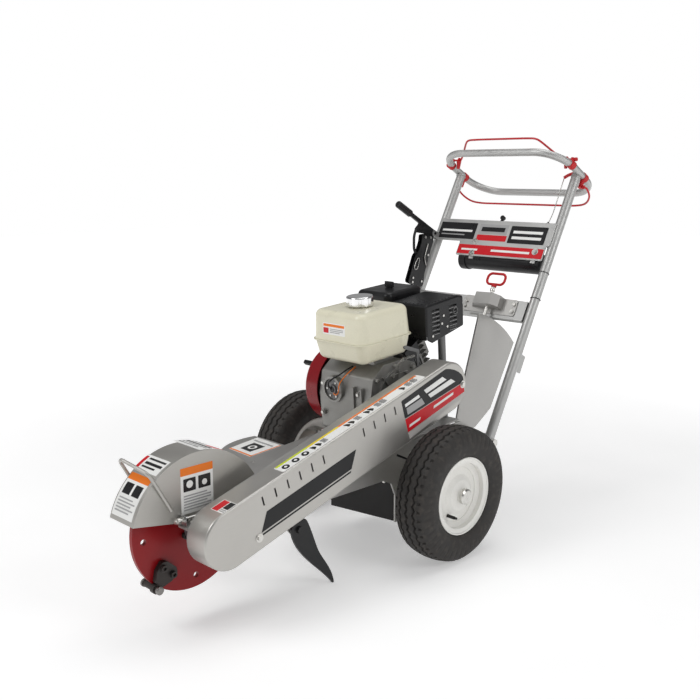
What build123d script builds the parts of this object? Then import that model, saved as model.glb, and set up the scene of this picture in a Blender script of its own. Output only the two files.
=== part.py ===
"""Walk-behind stump grinder: frame, cutter, belt drive, engine, wheels and folding handle.

Millimetres, +Z up. The cutter faces -Y and the belt guard is on the +X side. The origin is on the
ground, midway between the wheels and midway along the machine.
"""
from build123d import *
from math import cos, pi, radians, sin
import os

os.makedirs("parts", exist_ok=True)

# ---- driving dimensions ----
AXLE_Y = 45.2            # the axle, behind the middle of the machine
TYRE_R = 205             # 4.80/4.00-8 tyre
TYRE_WIDTH = 120.5
TRACK = 639.3            # between the tyres' middles
RIM_R = 117.8
AXLE_R = 12.7

CUTTER_Y, CUTTER_Z = -776, 257       # cutter shaft, seen from the axle
CUTTER_R = 177
CUTTER_X = 78                        # middle of the cutter disc
DISC_THICK = 12
SHAFT_R = 15
TEETH = 4
FIRST_TOOTH = -131                   # degrees, seen from the +X side

BOOM_TILT = 16.2                     # belt guard's rise towards the engine, degrees
BOOM_LENGTH = 885.8                  # between the guard's end centres
GUARD_R = 78
GUARD_X0, GUARD_X1 = 180, 250
PLATE_X = 174                        # inner face of the back plate
PLATE_THICK = 6
FAR_PLATE_X = -105
GAUGE = 3                            # guard sheet

DRUM_Y, DRUM_Z, DRUM_R = -778, 256, 206
DRUM_X0, DRUM_X1 = 25, 130

CRANK_Y, CRANK_Z = -30, 477
ENGINE_TILT = 4.5                    # nose-down pitch of deck and engine, degrees
CRANK_HEIGHT = 132                   # crank above the deck
DECK_THICK = 5
CRANK_R = 12.7                       # output shaft
MAIN_R = 17.5                        # crank bearing journals
CYL_LEAN = 25                        # cylinder's rise towards the rear, degrees

PIVOT_Y, PIVOT_Z = 276.5, 290        # handle pivot
HANDLE_TILT = 61.35                  # legs above the horizontal, degrees
LEG_X, LEG_R = 249, 16
LOOP_S = 975                         # loop's plane, along the legs from the pivot
LOOP_X, LOOP_B, LOOP_CORNER, LOOP_R = 258, 147, 106, 12.7
SECTOR_R = 410
PIN_X, PIN_B, PIN_R = 102, -45, 6

RUN = 0.05                           # running clearance on a shaft, radial
GAP = 0.3                            # clearance between pieces that pass each other

# ---- side views: local x runs to the rear, local y up, the normal is +X ----


def side_view(y, z, tilt):
    """A side-view plane through a point behind and above the axle's foot, turned by a tilt."""
    turn = radians(tilt)
    return Plane(origin=(0, y + AXLE_Y, z), x_dir=(0, cos(turn), sin(turn)), z_dir=(1, 0, 0))


SIDE = side_view(0, 0, 0)
BOOM = side_view(CUTTER_Y, CUTTER_Z, BOOM_TILT)
ENGINE = side_view(CRANK_Y, CRANK_Z, ENGINE_TILT)
CYLINDER = side_view(CRANK_Y, CRANK_Z, ENGINE_TILT + CYL_LEAN)
HANDLE = side_view(PIVOT_Y, PIVOT_Z, HANDLE_TILT - 90)


def place(side, x, back, up):
    """A side view's point at a position across the machine, in the part's frame."""
    return side.offset(x).from_local_coords(Vector(back, up, 0))


def upward(side, x, back, up):
    """A plane that looks along a side view's up direction, with local x along X."""
    return Plane(origin=place(side, x, back, up), x_dir=(1, 0, 0), z_dir=side.y_dir)


def forward(side, x, back, up):
    """A plane that faces a side view's front, with local x along X and local y up."""
    return Plane(origin=place(side, x, back, up), x_dir=(1, 0, 0), z_dir=-side.x_dir)


def plate(side, outline, x0, x1, corner=0, mode=Mode.ADD):
    """A plate from x0 to x1, cut to an outline in a side view."""
    with BuildSketch(side.offset(x0)) as face:
        with BuildLine():
            Polyline(*outline, close=True)
        make_face()
        if corner:
            fillet(face.vertices(), corner)
    extrude(face.sketch, amount=x1 - x0, mode=mode)


def block(side, back0, back1, up0, up1, x0, x1, corner=0, mode=Mode.ADD):
    """A box between two positions each way, with its four edges along X rounded."""
    outline = [(back0, up0), (back1, up0), (back1, up1), (back0, up1)]
    plate(side, outline, x0, x1, corner, mode)


def bar(side, back, up, radius, x0, x1, mode=Mode.ADD):
    """A round bar, or a bore, along X."""
    with BuildSketch(side.offset(x0)) as face:
        with Locations((back, up)):
            Circle(radius)
    extrude(face.sketch, amount=x1 - x0, mode=mode)


def hexagon(side, back, up, radius, x0, x1, mode=Mode.ADD):
    """A hexagonal head or nut along X."""
    with BuildSketch(side.offset(x0)) as face:
        with Locations((back, up)):
            RegularPolygon(radius, 6)
    extrude(face.sketch, amount=x1 - x0, mode=mode)


def post(plane, radius, height, mode=Mode.ADD):
    """A round post, or a hole, standing on a plane."""
    with BuildSketch(plane) as face:
        Circle(radius)
    extrude(face.sketch, amount=height, mode=mode)


def pad(plane, width, depth, height, corner=0, mode=Mode.ADD):
    """A block standing on a plane, with its upright edges rounded."""
    with BuildSketch(plane) as face:
        Rectangle(width, depth)
        if corner:
            fillet(face.vertices(), corner)
    extrude(face.sketch, amount=height, mode=mode)


def obround(side, front, rear, radius, x0, x1, mode=Mode.ADD):
    """A plate with a round end about each of two points in a side view."""
    with BuildSketch(side.offset(x0)) as face:
        for centre in (front, rear):
            with Locations(centre):
                Circle(radius)
        make_hull()
    extrude(face.sketch, amount=x1 - x0, mode=mode)


def ring(side, back, up, outer, inner, x0, x1):
    """A ring about X."""
    bar(side, back, up, outer, x0, x1)
    bar(side, back, up, inner, x0, x1, Mode.SUBTRACT)


def save(piece, name):
    piece.part.label = name
    export_step(piece.part, f"parts/{name}.step")


def turned(side, back, up, profile):
    """A solid of revolution about X from a profile of (x, radius) points."""
    centre = place(side, 0, back, up)
    with BuildSketch(Plane(origin=centre, x_dir=(1, 0, 0), z_dir=-side.x_dir)) as face:
        with BuildLine():
            Polyline(*profile, close=True)
        make_face()
    revolve(face.sketch, axis=Axis(centre, (1, 0, 0)))


def boom(y, z):
    """A side-view point in the belt guard's own frame."""
    local = BOOM.to_local_coords(Vector(0, y + AXLE_Y, z))
    return local.X, local.Y


CRANK_BOOM = boom(CRANK_Y, CRANK_Z)

# ---- fastener places shared by the pieces they join ----
M8_R = 4
M8_HOLE_R = 4.5
COVER_BOLTS = [(82, -43), (943, -16)]          # on the belt guard, in the boom's frame
FLAP_BOLTS_X = (-70, 34, 138)
FLAP_Y, FLAP_BOLT_Z, FLAP_THICK = -97, 222, 5
ENGINE_BOLTS = [(-75, -130), (60, -130), (-75, 112), (60, 112)]
HOUSING_BOLTS = [(143, -36), (163, -36), (143, 36), (163, 36)]
FOOT_TOP = -CRANK_HEIGHT + 14
ARM_UP = 42                                     # arm's top plate above the cutter shaft

# =====================================================================================
# frame
# =====================================================================================

DECK_REAR = 216
SIDE_FRONT = -548
SIDE_PLATE = [
    (-150, 242), (-112, 225), (-95, 186), (-95, 97), (95, 97), (112, 196), (262, 262), (304, 282),
    (292, 318), (DECK_REAR, 357),
]
NEAR_PLATE = [(SIDE_FRONT, 243), *SIDE_PLATE, (SIDE_FRONT, 300)]
FAR_PLATE = [(-290, 242), *SIDE_PLATE, (-290, 320)]
SECTOR_TOP, SECTOR_END = 75.4, 41.3             # ends of the height sector's rim, degrees
SECTOR_X0, SECTOR_X1 = 117, 123
RIM_X0 = 86                                     # the sector's rim is bent over towards -X
CROSS_R = 25
CROSS_X = 230
STAND_Y, STAND_Z = -506, 196
BRAKE_DRUM_R = 64
BAND_THICK = 3
BRAKE_BAR_Z = TYRE_R + BRAKE_DRUM_R + 0.4 + BAND_THICK + 6


def arc_point(radius, angle):
    """A point about the handle pivot, seen from the side."""
    turn = radians(angle)
    return PIVOT_Y + radius * cos(turn), PIVOT_Z + radius * sin(turn)


def deck_slab():
    """Cuts a plan prism down to the pitched deck sheet."""
    block(ENGINE, -620, 420, -CRANK_HEIGHT - DECK_THICK, -CRANK_HEIGHT, -300, 300, mode=Mode.INTERSECT)


with BuildPart() as deck:
    with BuildSketch() as plan:
        with BuildLine():
            corner_far = (-235, -435 + AXLE_Y)
            Polyline(corner_far, (-120, -540 + AXLE_Y), (20, -575.6 + AXLE_Y), (PLATE_X, -575.6 + AXLE_Y),
                     (PLATE_X, DECK_REAR + AXLE_Y), (FAR_PLATE_X, DECK_REAR + AXLE_Y),
                     (FAR_PLATE_X, -290 + AXLE_Y), (-248, -290 + AXLE_Y))
            ThreePointArc((-248, -290 + AXLE_Y), (-262, -340 + AXLE_Y), corner_far)
        make_face()
    extrude(amount=700)
    deck_slab()

with BuildPart() as main_frame:
    add(deck.part)
    obround(BOOM, (0, 0), (BOOM_LENGTH, 0), GUARD_R, PLATE_X, GUARD_X0)
    plate(SIDE, NEAR_PLATE, PLATE_X, GUARD_X0)
    plate(SIDE, FAR_PLATE, FAR_PLATE_X, FAR_PLATE_X + DECK_THICK)
    # arm over the cutter bearings
    block(BOOM, -62, 270, ARM_UP, ARM_UP + PLATE_THICK, DRUM_X1 + 0.5, PLATE_X)
    block(BOOM, 64, 270, -34, ARM_UP, DRUM_X1 + 0.5, DRUM_X1 + 5)
    # front wall under the engine, which the flap hangs from
    block(SIDE, FLAP_Y + FLAP_THICK, FLAP_Y + FLAP_THICK + DECK_THICK, 196, 336, FAR_PLATE_X, PLATE_X)
    # rear wall between the side plates
    block(SIDE, 150, 155, 215, 356, FAR_PLATE_X, PLATE_X)
    # axle brackets
    for x in (FAR_PLATE_X - 12, GUARD_X0):
        block(SIDE, -45, 45, 150, 260, x, x + 12, 6)
    # bar that the wheel brake's band is anchored to
    bar(SIDE, 0, BRAKE_BAR_Z, 6, -268, FAR_PLATE_X)
    # cross tube that carries the handle
    bar(SIDE, PIVOT_Y, PIVOT_Z, CROSS_R, -CROSS_X, CROSS_X)
    bar(SIDE, PIVOT_Y, PIVOT_Z, CROSS_R - 4, -CROSS_X + 10, CROSS_X - 10, Mode.SUBTRACT)
    # height sector
    with BuildSketch(SIDE.offset(SECTOR_X0)) as sector:
        with BuildLine():
            rim_start = arc_point(SECTOR_R, SECTOR_END)
            rim_top = arc_point(SECTOR_R, SECTOR_TOP)
            ThreePointArc(rim_start, arc_point(SECTOR_R, 58), rim_top)
            Polyline(rim_top, (285, 400), (262, 305), (276, 266.5), (376, 297), (457, 346), rim_start)
        make_face()
    extrude(sector.sketch, amount=SECTOR_X1 - SECTOR_X0)
    with BuildSketch(SIDE.offset(RIM_X0)) as rim:
        with BuildLine():
            ThreePointArc(rim_start, arc_point(SECTOR_R, 58), rim_top)
            Line(rim_top, arc_point(SECTOR_R - 6, SECTOR_TOP))
            ThreePointArc(arc_point(SECTOR_R - 6, SECTOR_TOP), arc_point(SECTOR_R - 6, 58),
                          arc_point(SECTOR_R - 6, SECTOR_END))
            Line(arc_point(SECTOR_R - 6, SECTOR_END), rim_start)
        make_face()
    extrude(rim.sketch, amount=SECTOR_X0 - RIM_X0)
    # detent holes in the rim for the height pin, every six degrees
    for step in range(-3, 1):
        detent = side_view(PIVOT_Y, PIVOT_Z, HANDLE_TILT - 90 + 6 * step)
        post(upward(detent, PIN_X, PIN_B, 380), PIN_R + 0.6, 60, Mode.SUBTRACT)
    # stand lug under the guard
    plate(SIDE, [(-560, 232), (-450, 262), (-486, 186), (-518, 180)], PLATE_X, GUARD_X0)
    bar(SIDE, STAND_Y, STAND_Z, 14, GUARD_X0, 192)
    bar(SIDE, STAND_Y, STAND_Z, 6 + RUN, PLATE_X, 192, Mode.SUBTRACT)
    # openings: cutter shaft, crankshaft, axle, deck holes, bolts
    bar(BOOM, 0, 0, 36, PLATE_X, GUARD_X0, Mode.SUBTRACT)
    bar(BOOM, *CRANK_BOOM, 52, PLATE_X, GUARD_X0, Mode.SUBTRACT)
    bar(SIDE, 0, TYRE_R, AXLE_R, -CROSS_X, CROSS_X, Mode.SUBTRACT)
    for back, up in COVER_BOLTS:
        bar(BOOM, back, up, M8_HOLE_R, PLATE_X, GUARD_X0, Mode.SUBTRACT)
    for x, back in HOUSING_BOLTS:
        post(upward(BOOM, x, back, ARM_UP), M8_HOLE_R, PLATE_THICK, Mode.SUBTRACT)
    for x, back in ENGINE_BOLTS:
        post(upward(ENGINE, x, back, -CRANK_HEIGHT - DECK_THICK), M8_HOLE_R, DECK_THICK, Mode.SUBTRACT)
    for x in FLAP_BOLTS_X:
        post(forward(SIDE, x, FLAP_Y + FLAP_THICK + DECK_THICK, FLAP_BOLT_Z), M8_HOLE_R, DECK_THICK,
             Mode.SUBTRACT)
    for x, y in ((-69, -444), (-63, -269), (-205, -400), (-205, -330)):
        post(upward(SIDE, x, y, 250), 6, 100, Mode.SUBTRACT)
save(main_frame, "main_frame")

AXLE_END = 380
with BuildPart() as axle:
    bar(SIDE, 0, TYRE_R, AXLE_R, -AXLE_END, AXLE_END)
    for sign in (-1, 1):
        bar(SIDE, 0, TYRE_R, 19, min(sign * 266, sign * 274.3), max(sign * 266, sign * 274.3))
save(axle, "axle")

# push-on caps that hold the wheels on the axle
CAP_X = AXLE_END - 10
with BuildPart() as axle_caps:
    for sign in (-1, 1):
        turned(SIDE, 0, TYRE_R, [(sign * CAP_X, AXLE_R), (sign * CAP_X, 24), (sign * (CAP_X + 8), 24),
                                 (sign * (CAP_X + 12), 19), (sign * (CAP_X + 12), 0),
                                 (sign * AXLE_END, 0), (sign * AXLE_END, AXLE_R)])
save(axle_caps, "axle_caps")

# ---- drum guard round the cutter ----
RAIL_R = 4.6
DRUM_LIP = [(-1100, 334.3), (-560, 238.5), (-560, 0), (-1100, 0)]
with BuildPart() as drum_guard:
    bar(SIDE, DRUM_Y, DRUM_Z, DRUM_R, DRUM_X0, DRUM_X1)
    bar(SIDE, DRUM_Y, DRUM_Z, DRUM_R - GAUGE, DRUM_X0 + GAUGE, DRUM_X1 - GAUGE, Mode.SUBTRACT)
    plate(SIDE, DRUM_LIP, DRUM_X0, DRUM_X1, mode=Mode.SUBTRACT)
    # round rail welded across the front
    with BuildLine() as rail_path:
        FilletPolyline((DRUM_X1 + RAIL_R, -868 + AXLE_Y, 330), (DRUM_X1 + RAIL_R, -930 + AXLE_Y, 438),
                       (DRUM_X0 - RAIL_R, -944 + AXLE_Y, 458), (DRUM_X0 - RAIL_R, -880 + AXLE_Y, 345),
                       radius=18)
    with BuildSketch(Plane(rail_path.line @ 0, z_dir=rail_path.line % 0)):
        Circle(RAIL_R)
    sweep()
save(drum_guard, "drum_guard")

# ---- belt guard cover ----
VENTS = [122 + 44.2 * i for i in range(6)] + [503 + 45 * i for i in range(4)]
with BuildPart() as belt_guard:
    obround(BOOM, (0, 0), (BOOM_LENGTH, 0), GUARD_R, GUARD_X0, GUARD_X1)
    fillet(belt_guard.faces().sort_by(Axis.X)[-1].edges(), 6)
    obround(BOOM, (0, 0), (BOOM_LENGTH, 0), GUARD_R - GAUGE, GUARD_X0, GUARD_X1 - GAUGE, Mode.SUBTRACT)
    for along in VENTS:
        block(BOOM, along - 2.5, along + 2.5, 31, 57, GUARD_X1 - GAUGE, GUARD_X1, mode=Mode.SUBTRACT)
    for back, up in COVER_BOLTS:
        bar(BOOM, back, up, M8_HOLE_R, GUARD_X1 - GAUGE, GUARD_X1, Mode.SUBTRACT)
save(belt_guard, "belt_guard")

# ---- bolts of the frame, all M8 ----


def bolt_up(side, x, back, up, length):
    """A bolt whose head stands on top and whose shank runs down, with a nut at its end."""
    post(upward(side, x, back, up - length), M8_R, length)
    with BuildSketch(upward(side, x, back, up)) as head:
        RegularPolygon(7.5, 6)
    extrude(head.sketch, amount=5.5)


with BuildPart() as frame_bolts:
    for back, up in COVER_BOLTS:
        bar(BOOM, back, up, M8_R, PLATE_X - 8, GUARD_X1)
        hexagon(BOOM, back, up, 7.5, GUARD_X1, GUARD_X1 + 5.5)
        hexagon(BOOM, back, up, 7.5, PLATE_X - 6, PLATE_X)
    for x, back in HOUSING_BOLTS:
        bolt_up(BOOM, x, back, ARM_UP + PLATE_THICK, 18)
    for x, back in ENGINE_BOLTS:
        bolt_up(ENGINE, x, back, FOOT_TOP, 28)
        with BuildSketch(upward(ENGINE, x, back, -CRANK_HEIGHT - DECK_THICK - 6.5)) as nut:
            RegularPolygon(7.5, 6)
        extrude(nut.sketch, amount=6.5)
    for x in FLAP_BOLTS_X:
        post(forward(SIDE, x, FLAP_Y + FLAP_THICK + DECK_THICK + 8, FLAP_BOLT_Z), M8_R, 18)
        with BuildSketch(forward(SIDE, x, FLAP_Y, FLAP_BOLT_Z)) as head:
            RegularPolygon(7.5, 6)
        extrude(head.sketch, amount=5.5)
save(frame_bolts, "frame_bolts")

# ---- cutter bearings in their housing, under the arm ----
BEARING_R = 31
BEARING_WIDTH = 14
BEARINGS_X = (136, 158)
with BuildPart() as bearing_housing:
    block(BOOM, -50, 50, -37, ARM_UP, DRUM_X1 + 1, PLATE_X - 0.5, 8)
    bar(BOOM, 0, 0, BEARING_R, BEARINGS_X[0], PLATE_X, Mode.SUBTRACT)
    bar(BOOM, 0, 0, 22, DRUM_X1, PLATE_X, Mode.SUBTRACT)
    for x, back in HOUSING_BOLTS:
        post(upward(BOOM, x, back, ARM_UP - 12), M8_R, 12, Mode.SUBTRACT)
save(bearing_housing, "bearing_housing")

with BuildPart() as cutter_bearings:
    for x in BEARINGS_X:
        ring(BOOM, 0, 0, BEARING_R, SHAFT_R + RUN, x, x + BEARING_WIDTH)
save(cutter_bearings, "cutter_bearings")

# ---- drive belts: two flat-sided loops ----
BELT_WIDTH = 16
BELT_THICK = 9
BELTS_X = (200, 219)
CUTTER_SHEAVE_R = 62.5
ENGINE_SHEAVE_R = 58.5
GROOVE = 10
with BuildPart() as drive_belts:
    for x in BELTS_X:
        for inset, mode in ((0, Mode.ADD), (BELT_THICK, Mode.SUBTRACT)):
            with BuildSketch(BOOM.offset(x - BELT_WIDTH / 2)) as loop:
                Circle(CUTTER_SHEAVE_R - 0.5 - inset)
                with Locations(CRANK_BOOM):
                    Circle(ENGINE_SHEAVE_R - 0.5 - inset)
                make_hull()
            extrude(loop.sketch, amount=BELT_WIDTH, mode=mode)
save(drive_belts, "drive_belts")

# ---- rubber debris flap ----
with BuildPart() as rubber_flap:
    with BuildSketch(forward(SIDE, 0, FLAP_Y + FLAP_THICK, 0)) as flap:
        with BuildLine():
            flap_x = FAR_PLATE_X + DECK_THICK + 1
            Polyline((flap_x, 250), (PLATE_X - 1, 250), (PLATE_X - 1, 101), (flap_x, 80), close=True)
        make_face()
        with Locations(*[(x, FLAP_BOLT_Z) for x in FLAP_BOLTS_X]):
            Circle(M8_HOLE_R, mode=Mode.SUBTRACT)
    extrude(flap.sketch, amount=FLAP_THICK)
save(rubber_flap, "rubber_flap")

# ---- band brake on the far wheel ----
BAND_X0, BAND_X1 = -267, -253
with BuildPart() as brake_band:
    ring(SIDE, 0, TYRE_R, BRAKE_DRUM_R + 0.4 + BAND_THICK, BRAKE_DRUM_R + 0.4, BAND_X0, BAND_X1)
    block(SIDE, -100, -50, TYRE_R - 10, TYRE_R + 10, BAND_X0, BAND_X1, mode=Mode.SUBTRACT)
    for up in (-16, 10):
        block(SIDE, -84, -64.2, TYRE_R + up, TYRE_R + up + 6, BAND_X0, BAND_X1)
save(brake_band, "brake_band")

# =====================================================================================
# cutter, turning as one
# =====================================================================================

CUTTER = side_view(CUTTER_Y, CUTTER_Z, 0)
TOOTH_TURNS = [FIRST_TOOTH + 360 / TEETH * i for i in range(TEETH)]
DISC_X0, DISC_X1 = CUTTER_X - DISC_THICK / 2, CUTTER_X + DISC_THICK / 2
TOOTH_R = 183                        # tooth bars from the shaft
BAR_R = 9
HOLDER_X1 = DISC_X1 + 15
SCREW_R = 6
HOLDER_SCREWS = [(131.7, -18.5), (131.7, 18.5)]
HUB_SCREW_R = 34
SPARE_HOLE_R = 8
HOLDER_OUTLINE = [(112, -17), (112, 17), (120, 29), (146, 29), (172, 13), (172, -13), (146, -29), (120, -29)]
SHAFT_END = 232
SHEAVE_X0, SHEAVE_X1 = 190.5, 228.5


def tooth_view(turn):
    """A side view of the cutter whose local x runs outwards at an angle."""
    return side_view(CUTTER_Y, CUTTER_Z, turn)


def sheave(side, centre, outer, bore):
    """A two-groove sheave about a point of a side view."""
    bar(side, *centre, outer, SHEAVE_X0, SHEAVE_X1)
    for x in BELTS_X:
        half = BELT_WIDTH / 2 + 0.4
        ring_x0, ring_x1 = x - half, x + half
        with BuildSketch(side.offset(ring_x0)) as groove:
            with Locations(centre):
                Circle(outer + 1)
                Circle(outer - GROOVE, mode=Mode.SUBTRACT)
        extrude(groove.sketch, amount=ring_x1 - ring_x0, mode=Mode.SUBTRACT)
    bar(side, *centre, bore, SHEAVE_X0, SHEAVE_X1, Mode.SUBTRACT)


with BuildPart() as cutter_shaft:
    turned(CUTTER, 0, 0, [(60, 0), (60, 46), (DISC_X0, 46), (DISC_X0, SHAFT_R), (SHAFT_END, SHAFT_R),
                          (SHAFT_END, 0)])
    for turn in TOOTH_TURNS:
        bar(tooth_view(turn), HUB_SCREW_R, 0, SCREW_R, 60, DISC_X0, Mode.SUBTRACT)
save(cutter_shaft, "cutter_shaft")

with BuildPart() as cutter_disc:
    ring(CUTTER, 0, 0, CUTTER_R, SHAFT_R, DISC_X0, DISC_X1)
    for turn in TOOTH_TURNS:
        view = tooth_view(turn)
        bar(view, TOOTH_R, 0, BAR_R + 1, DISC_X0, DISC_X1, Mode.SUBTRACT)
        bar(view, HUB_SCREW_R, 0, SCREW_R, DISC_X0, DISC_X1, Mode.SUBTRACT)
        for out, across in HOLDER_SCREWS:
            bar(view, out, across, SCREW_R, DISC_X0, DISC_X1, Mode.SUBTRACT)
        bar(tooth_view(turn + 180 / TEETH), 145, 0, SPARE_HOLE_R, DISC_X0, DISC_X1, Mode.SUBTRACT)
save(cutter_disc, "cutter_disc")

with BuildPart() as tooth_holders:
    for turn in TOOTH_TURNS:
        view = tooth_view(turn)
        plate(view, HOLDER_OUTLINE, DISC_X1, HOLDER_X1, 5)
        bar(view, TOOTH_R, 0, 13, DISC_X1, HOLDER_X1)
        bar(view, TOOTH_R, 0, BAR_R, DISC_X1, HOLDER_X1, Mode.SUBTRACT)
        for out, across in HOLDER_SCREWS:
            bar(view, out, across, SCREW_R, DISC_X1, HOLDER_X1, Mode.SUBTRACT)
save(tooth_holders, "tooth_holders")

with BuildPart() as tooth_bars:
    for turn in TOOTH_TURNS:
        bar(tooth_view(turn), TOOTH_R, 0, BAR_R, 45, 107)
save(tooth_bars, "tooth_bars")

with BuildPart() as carbide_tips:
    for turn in TOOTH_TURNS:
        for x0, x1 in ((45, 37), (107, 115)):
            step = (x1 - x0) / 8
            turned(tooth_view(turn), TOOTH_R, 0, [(x0, 0), (x0, 11), (x1 - 2 * step, 11), (x1, 8), (x1, 0)])
save(carbide_tips, "carbide_tips")


def socket_screw(side, back, up, x_head, x_end):
    """A socket-head screw along X, its head on the +X side."""
    bar(side, back, up, SCREW_R, x_end, x_head)
    bar(side, back, up, 9, x_head, x_head + 9)
    hexagon(side, back, up, 5, x_head + 4, x_head + 9, Mode.SUBTRACT)


with BuildPart() as cutter_screws:
    for turn in TOOTH_TURNS:
        view = tooth_view(turn)
        socket_screw(view, HUB_SCREW_R, 0, DISC_X1, 60)
        for out, across in HOLDER_SCREWS:
            socket_screw(view, out, across, HOLDER_X1, 62)
            hexagon(view, out, across, 10, 62, DISC_X0)
save(cutter_screws, "cutter_screws")

with BuildPart() as cutter_sheave:
    sheave(BOOM, (0, 0), CUTTER_SHEAVE_R, SHAFT_R)
save(cutter_sheave, "cutter_sheave")

# =====================================================================================
# engine
# =====================================================================================

CASE_X0, CASE_X1 = -98, 104
COVER_X1 = 122
CASE = [
    (-112, -118), (92, -118), (104, -60), (118, 10), (92, 84), (40, 106), (-50, 106), (-100, 70), (-116, 0),
]
COVER_SCREWS = [(-98, -104), (-8, -108), (78, -104), (103, 2), (78, 74), (-5, 96), (-84, 66), (-103, -10)]
PTO_END = 232
FLYWHEEL_R = 104

with BuildPart() as crankcase:
    plate(ENGINE, CASE, CASE_X0, CASE_X1, 14)
    with BuildSketch(ENGINE.offset(CASE_X0 + 10)) as cavity:
        with BuildLine():
            Polyline(*CASE, close=True)
        make_face()
        offset(amount=-9)
    extrude(cavity.sketch, amount=CASE_X1 - CASE_X0 - 10, mode=Mode.SUBTRACT)
    block(ENGINE, -142, 124, -CRANK_HEIGHT, FOOT_TOP, -90, 76)
    bar(ENGINE, 0, 0, 32, CASE_X0, CASE_X0 + 22)
    bar(ENGINE, 0, 0, MAIN_R + RUN, CASE_X0, CASE_X0 + 22, Mode.SUBTRACT)
    for x, back in ENGINE_BOLTS:
        post(upward(ENGINE, x, back, -CRANK_HEIGHT), M8_HOLE_R, FOOT_TOP + CRANK_HEIGHT, Mode.SUBTRACT)
    # round housing and webs cast on the front wall
    post(forward(ENGINE, -33, -101, 22), 42, 23)
    post(forward(ENGINE, -33, -115, 22), 34, 10, Mode.SUBTRACT)
    for x in (52, 86):
        block(ENGINE, -122, -106, -70, 42, x, x + 6)
    # filler boss and cap on the front foot
    post(Plane(origin=place(ENGINE, 50, -110, -92), x_dir=(1, 0, 0), z_dir=-ENGINE.x_dir), 15, 30)
    # saddle that carries the tank
    block(ENGINE, -60, 30, 104, 118, -60, 90)
save(crankcase, "crankcase")

with BuildPart() as side_cover:
    plate(ENGINE, CASE, CASE_X1, COVER_X1, 14)
    bar(ENGINE, 0, 0, 36, COVER_X1, COVER_X1 + 12)
    for turn in (25, 80, 130, 180, 228, 270, 315):
        view = side_view(CRANK_Y, CRANK_Z, ENGINE_TILT + turn)
        block(view, 30, 92, -3, 3, COVER_X1, COVER_X1 + 7)
    with BuildSketch(ENGINE.offset(COVER_X1)) as ribs:
        Circle(80)
        Circle(75, mode=Mode.SUBTRACT)
    extrude(ribs.sketch, amount=5)
    bar(ENGINE, 0, 0, MAIN_R + RUN, CASE_X1, COVER_X1 + 12, Mode.SUBTRACT)
    for back, up in COVER_SCREWS:
        bar(ENGINE, back, up, 9, COVER_X1, COVER_X1 + 3)
        bar(ENGINE, back, up, 3.5, CASE_X1, COVER_X1 + 3, Mode.SUBTRACT)
save(side_cover, "side_cover")

with BuildPart() as engine_bolts:
    for back, up in COVER_SCREWS:
        bar(ENGINE, back, up, 3.5, CASE_X1, COVER_X1 + 3)
        hexagon(ENGINE, back, up, 6.5, COVER_X1 + 3, COVER_X1 + 8)
save(engine_bolts, "engine_bolts")

with BuildPart() as crankshaft:
    turned(ENGINE, 0, 0, [(-150, 0), (-150, 11), (-112, 11), (-106, MAIN_R), (-14, MAIN_R), (-14, 0)])
    turned(ENGINE, 0, 0, [(22, 0), (22, MAIN_R), (COVER_X1 + 14, MAIN_R), (COVER_X1 + 14, CRANK_R),
                          (PTO_END, CRANK_R), (PTO_END, 0)])
    for x in (-32, 22):
        bar(ENGINE, -10, 0, 52, x, x + 18)
    bar(ENGINE, 34, 0, 15, -32, 40)
    # flywheel, keyed to the far end
    with BuildSketch(ENGINE.offset(-150)) as wheel:
        Circle(FLYWHEEL_R)
        Circle(11, mode=Mode.SUBTRACT)
    extrude(wheel.sketch, amount=36)
    with BuildSketch(ENGINE.offset(-150)) as hollow:
        Circle(FLYWHEEL_R - 12)
        Circle(30, mode=Mode.SUBTRACT)
    extrude(hollow.sketch, amount=26, mode=Mode.SUBTRACT)
save(crankshaft, "crankshaft")

with BuildPart() as engine_sheave:
    sheave(BOOM, CRANK_BOOM, ENGINE_SHEAVE_R, CRANK_R)
save(engine_sheave, "engine_sheave")


def barrel(along, radius, length, mode=Mode.ADD):
    """A round length on the cylinder's axis."""
    post(Plane(origin=place(CYLINDER, 3, along, 0), x_dir=(1, 0, 0), z_dir=CYLINDER.x_dir), radius, length,
         mode)


CYL_X0, CYL_X1 = -68, 74
HEAD_ALONG, HEAD_END, ROCKER_END = 188, 226, 252
with BuildPart() as cylinder:
    block(CYLINDER, 120, 130, -56, 56, CYL_X0, CYL_X1, 3)
    barrel(120, 54, HEAD_ALONG - 120)
    for i in range(7):
        block(CYLINDER, 134 + 7.6 * i, 136.6 + 7.6 * i, -57, 57, CYL_X0, CYL_X1, 1)
    barrel(120, 44, HEAD_ALONG - 120, Mode.SUBTRACT)
save(cylinder, "cylinder")

with BuildPart() as cylinder_head:
    block(CYLINDER, HEAD_ALONG, HEAD_END, -36, 36, -50, 56)
    block(CYLINDER, HEAD_ALONG, HEAD_ALONG + 8, -46, 46, CYL_X0, CYL_X1)
    for i in range(5):
        up = -40 + 18 * i
        block(CYLINDER, HEAD_ALONG, HEAD_END, up, up + 3, CYL_X0, CYL_X1)
save(cylinder_head, "cylinder_head")

with BuildPart() as valve_cover:
    block(CYLINDER, HEAD_END, ROCKER_END, -40, 36, -46, 52)
    fillet(valve_cover.faces().sort_by(Axis.Y)[-1].edges(), 7)
save(valve_cover, "valve_cover")

# sheet that leads the cooling air over the fins
with BuildPart() as cylinder_cowl:
    block(CYLINDER, 126, 220, 58, 60, -76, 84)
    for x in (-78, 82):
        block(CYLINDER, 126, 190, 14, 60, x, x + 2)
save(cylinder_cowl, "cylinder_cowl")

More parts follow.
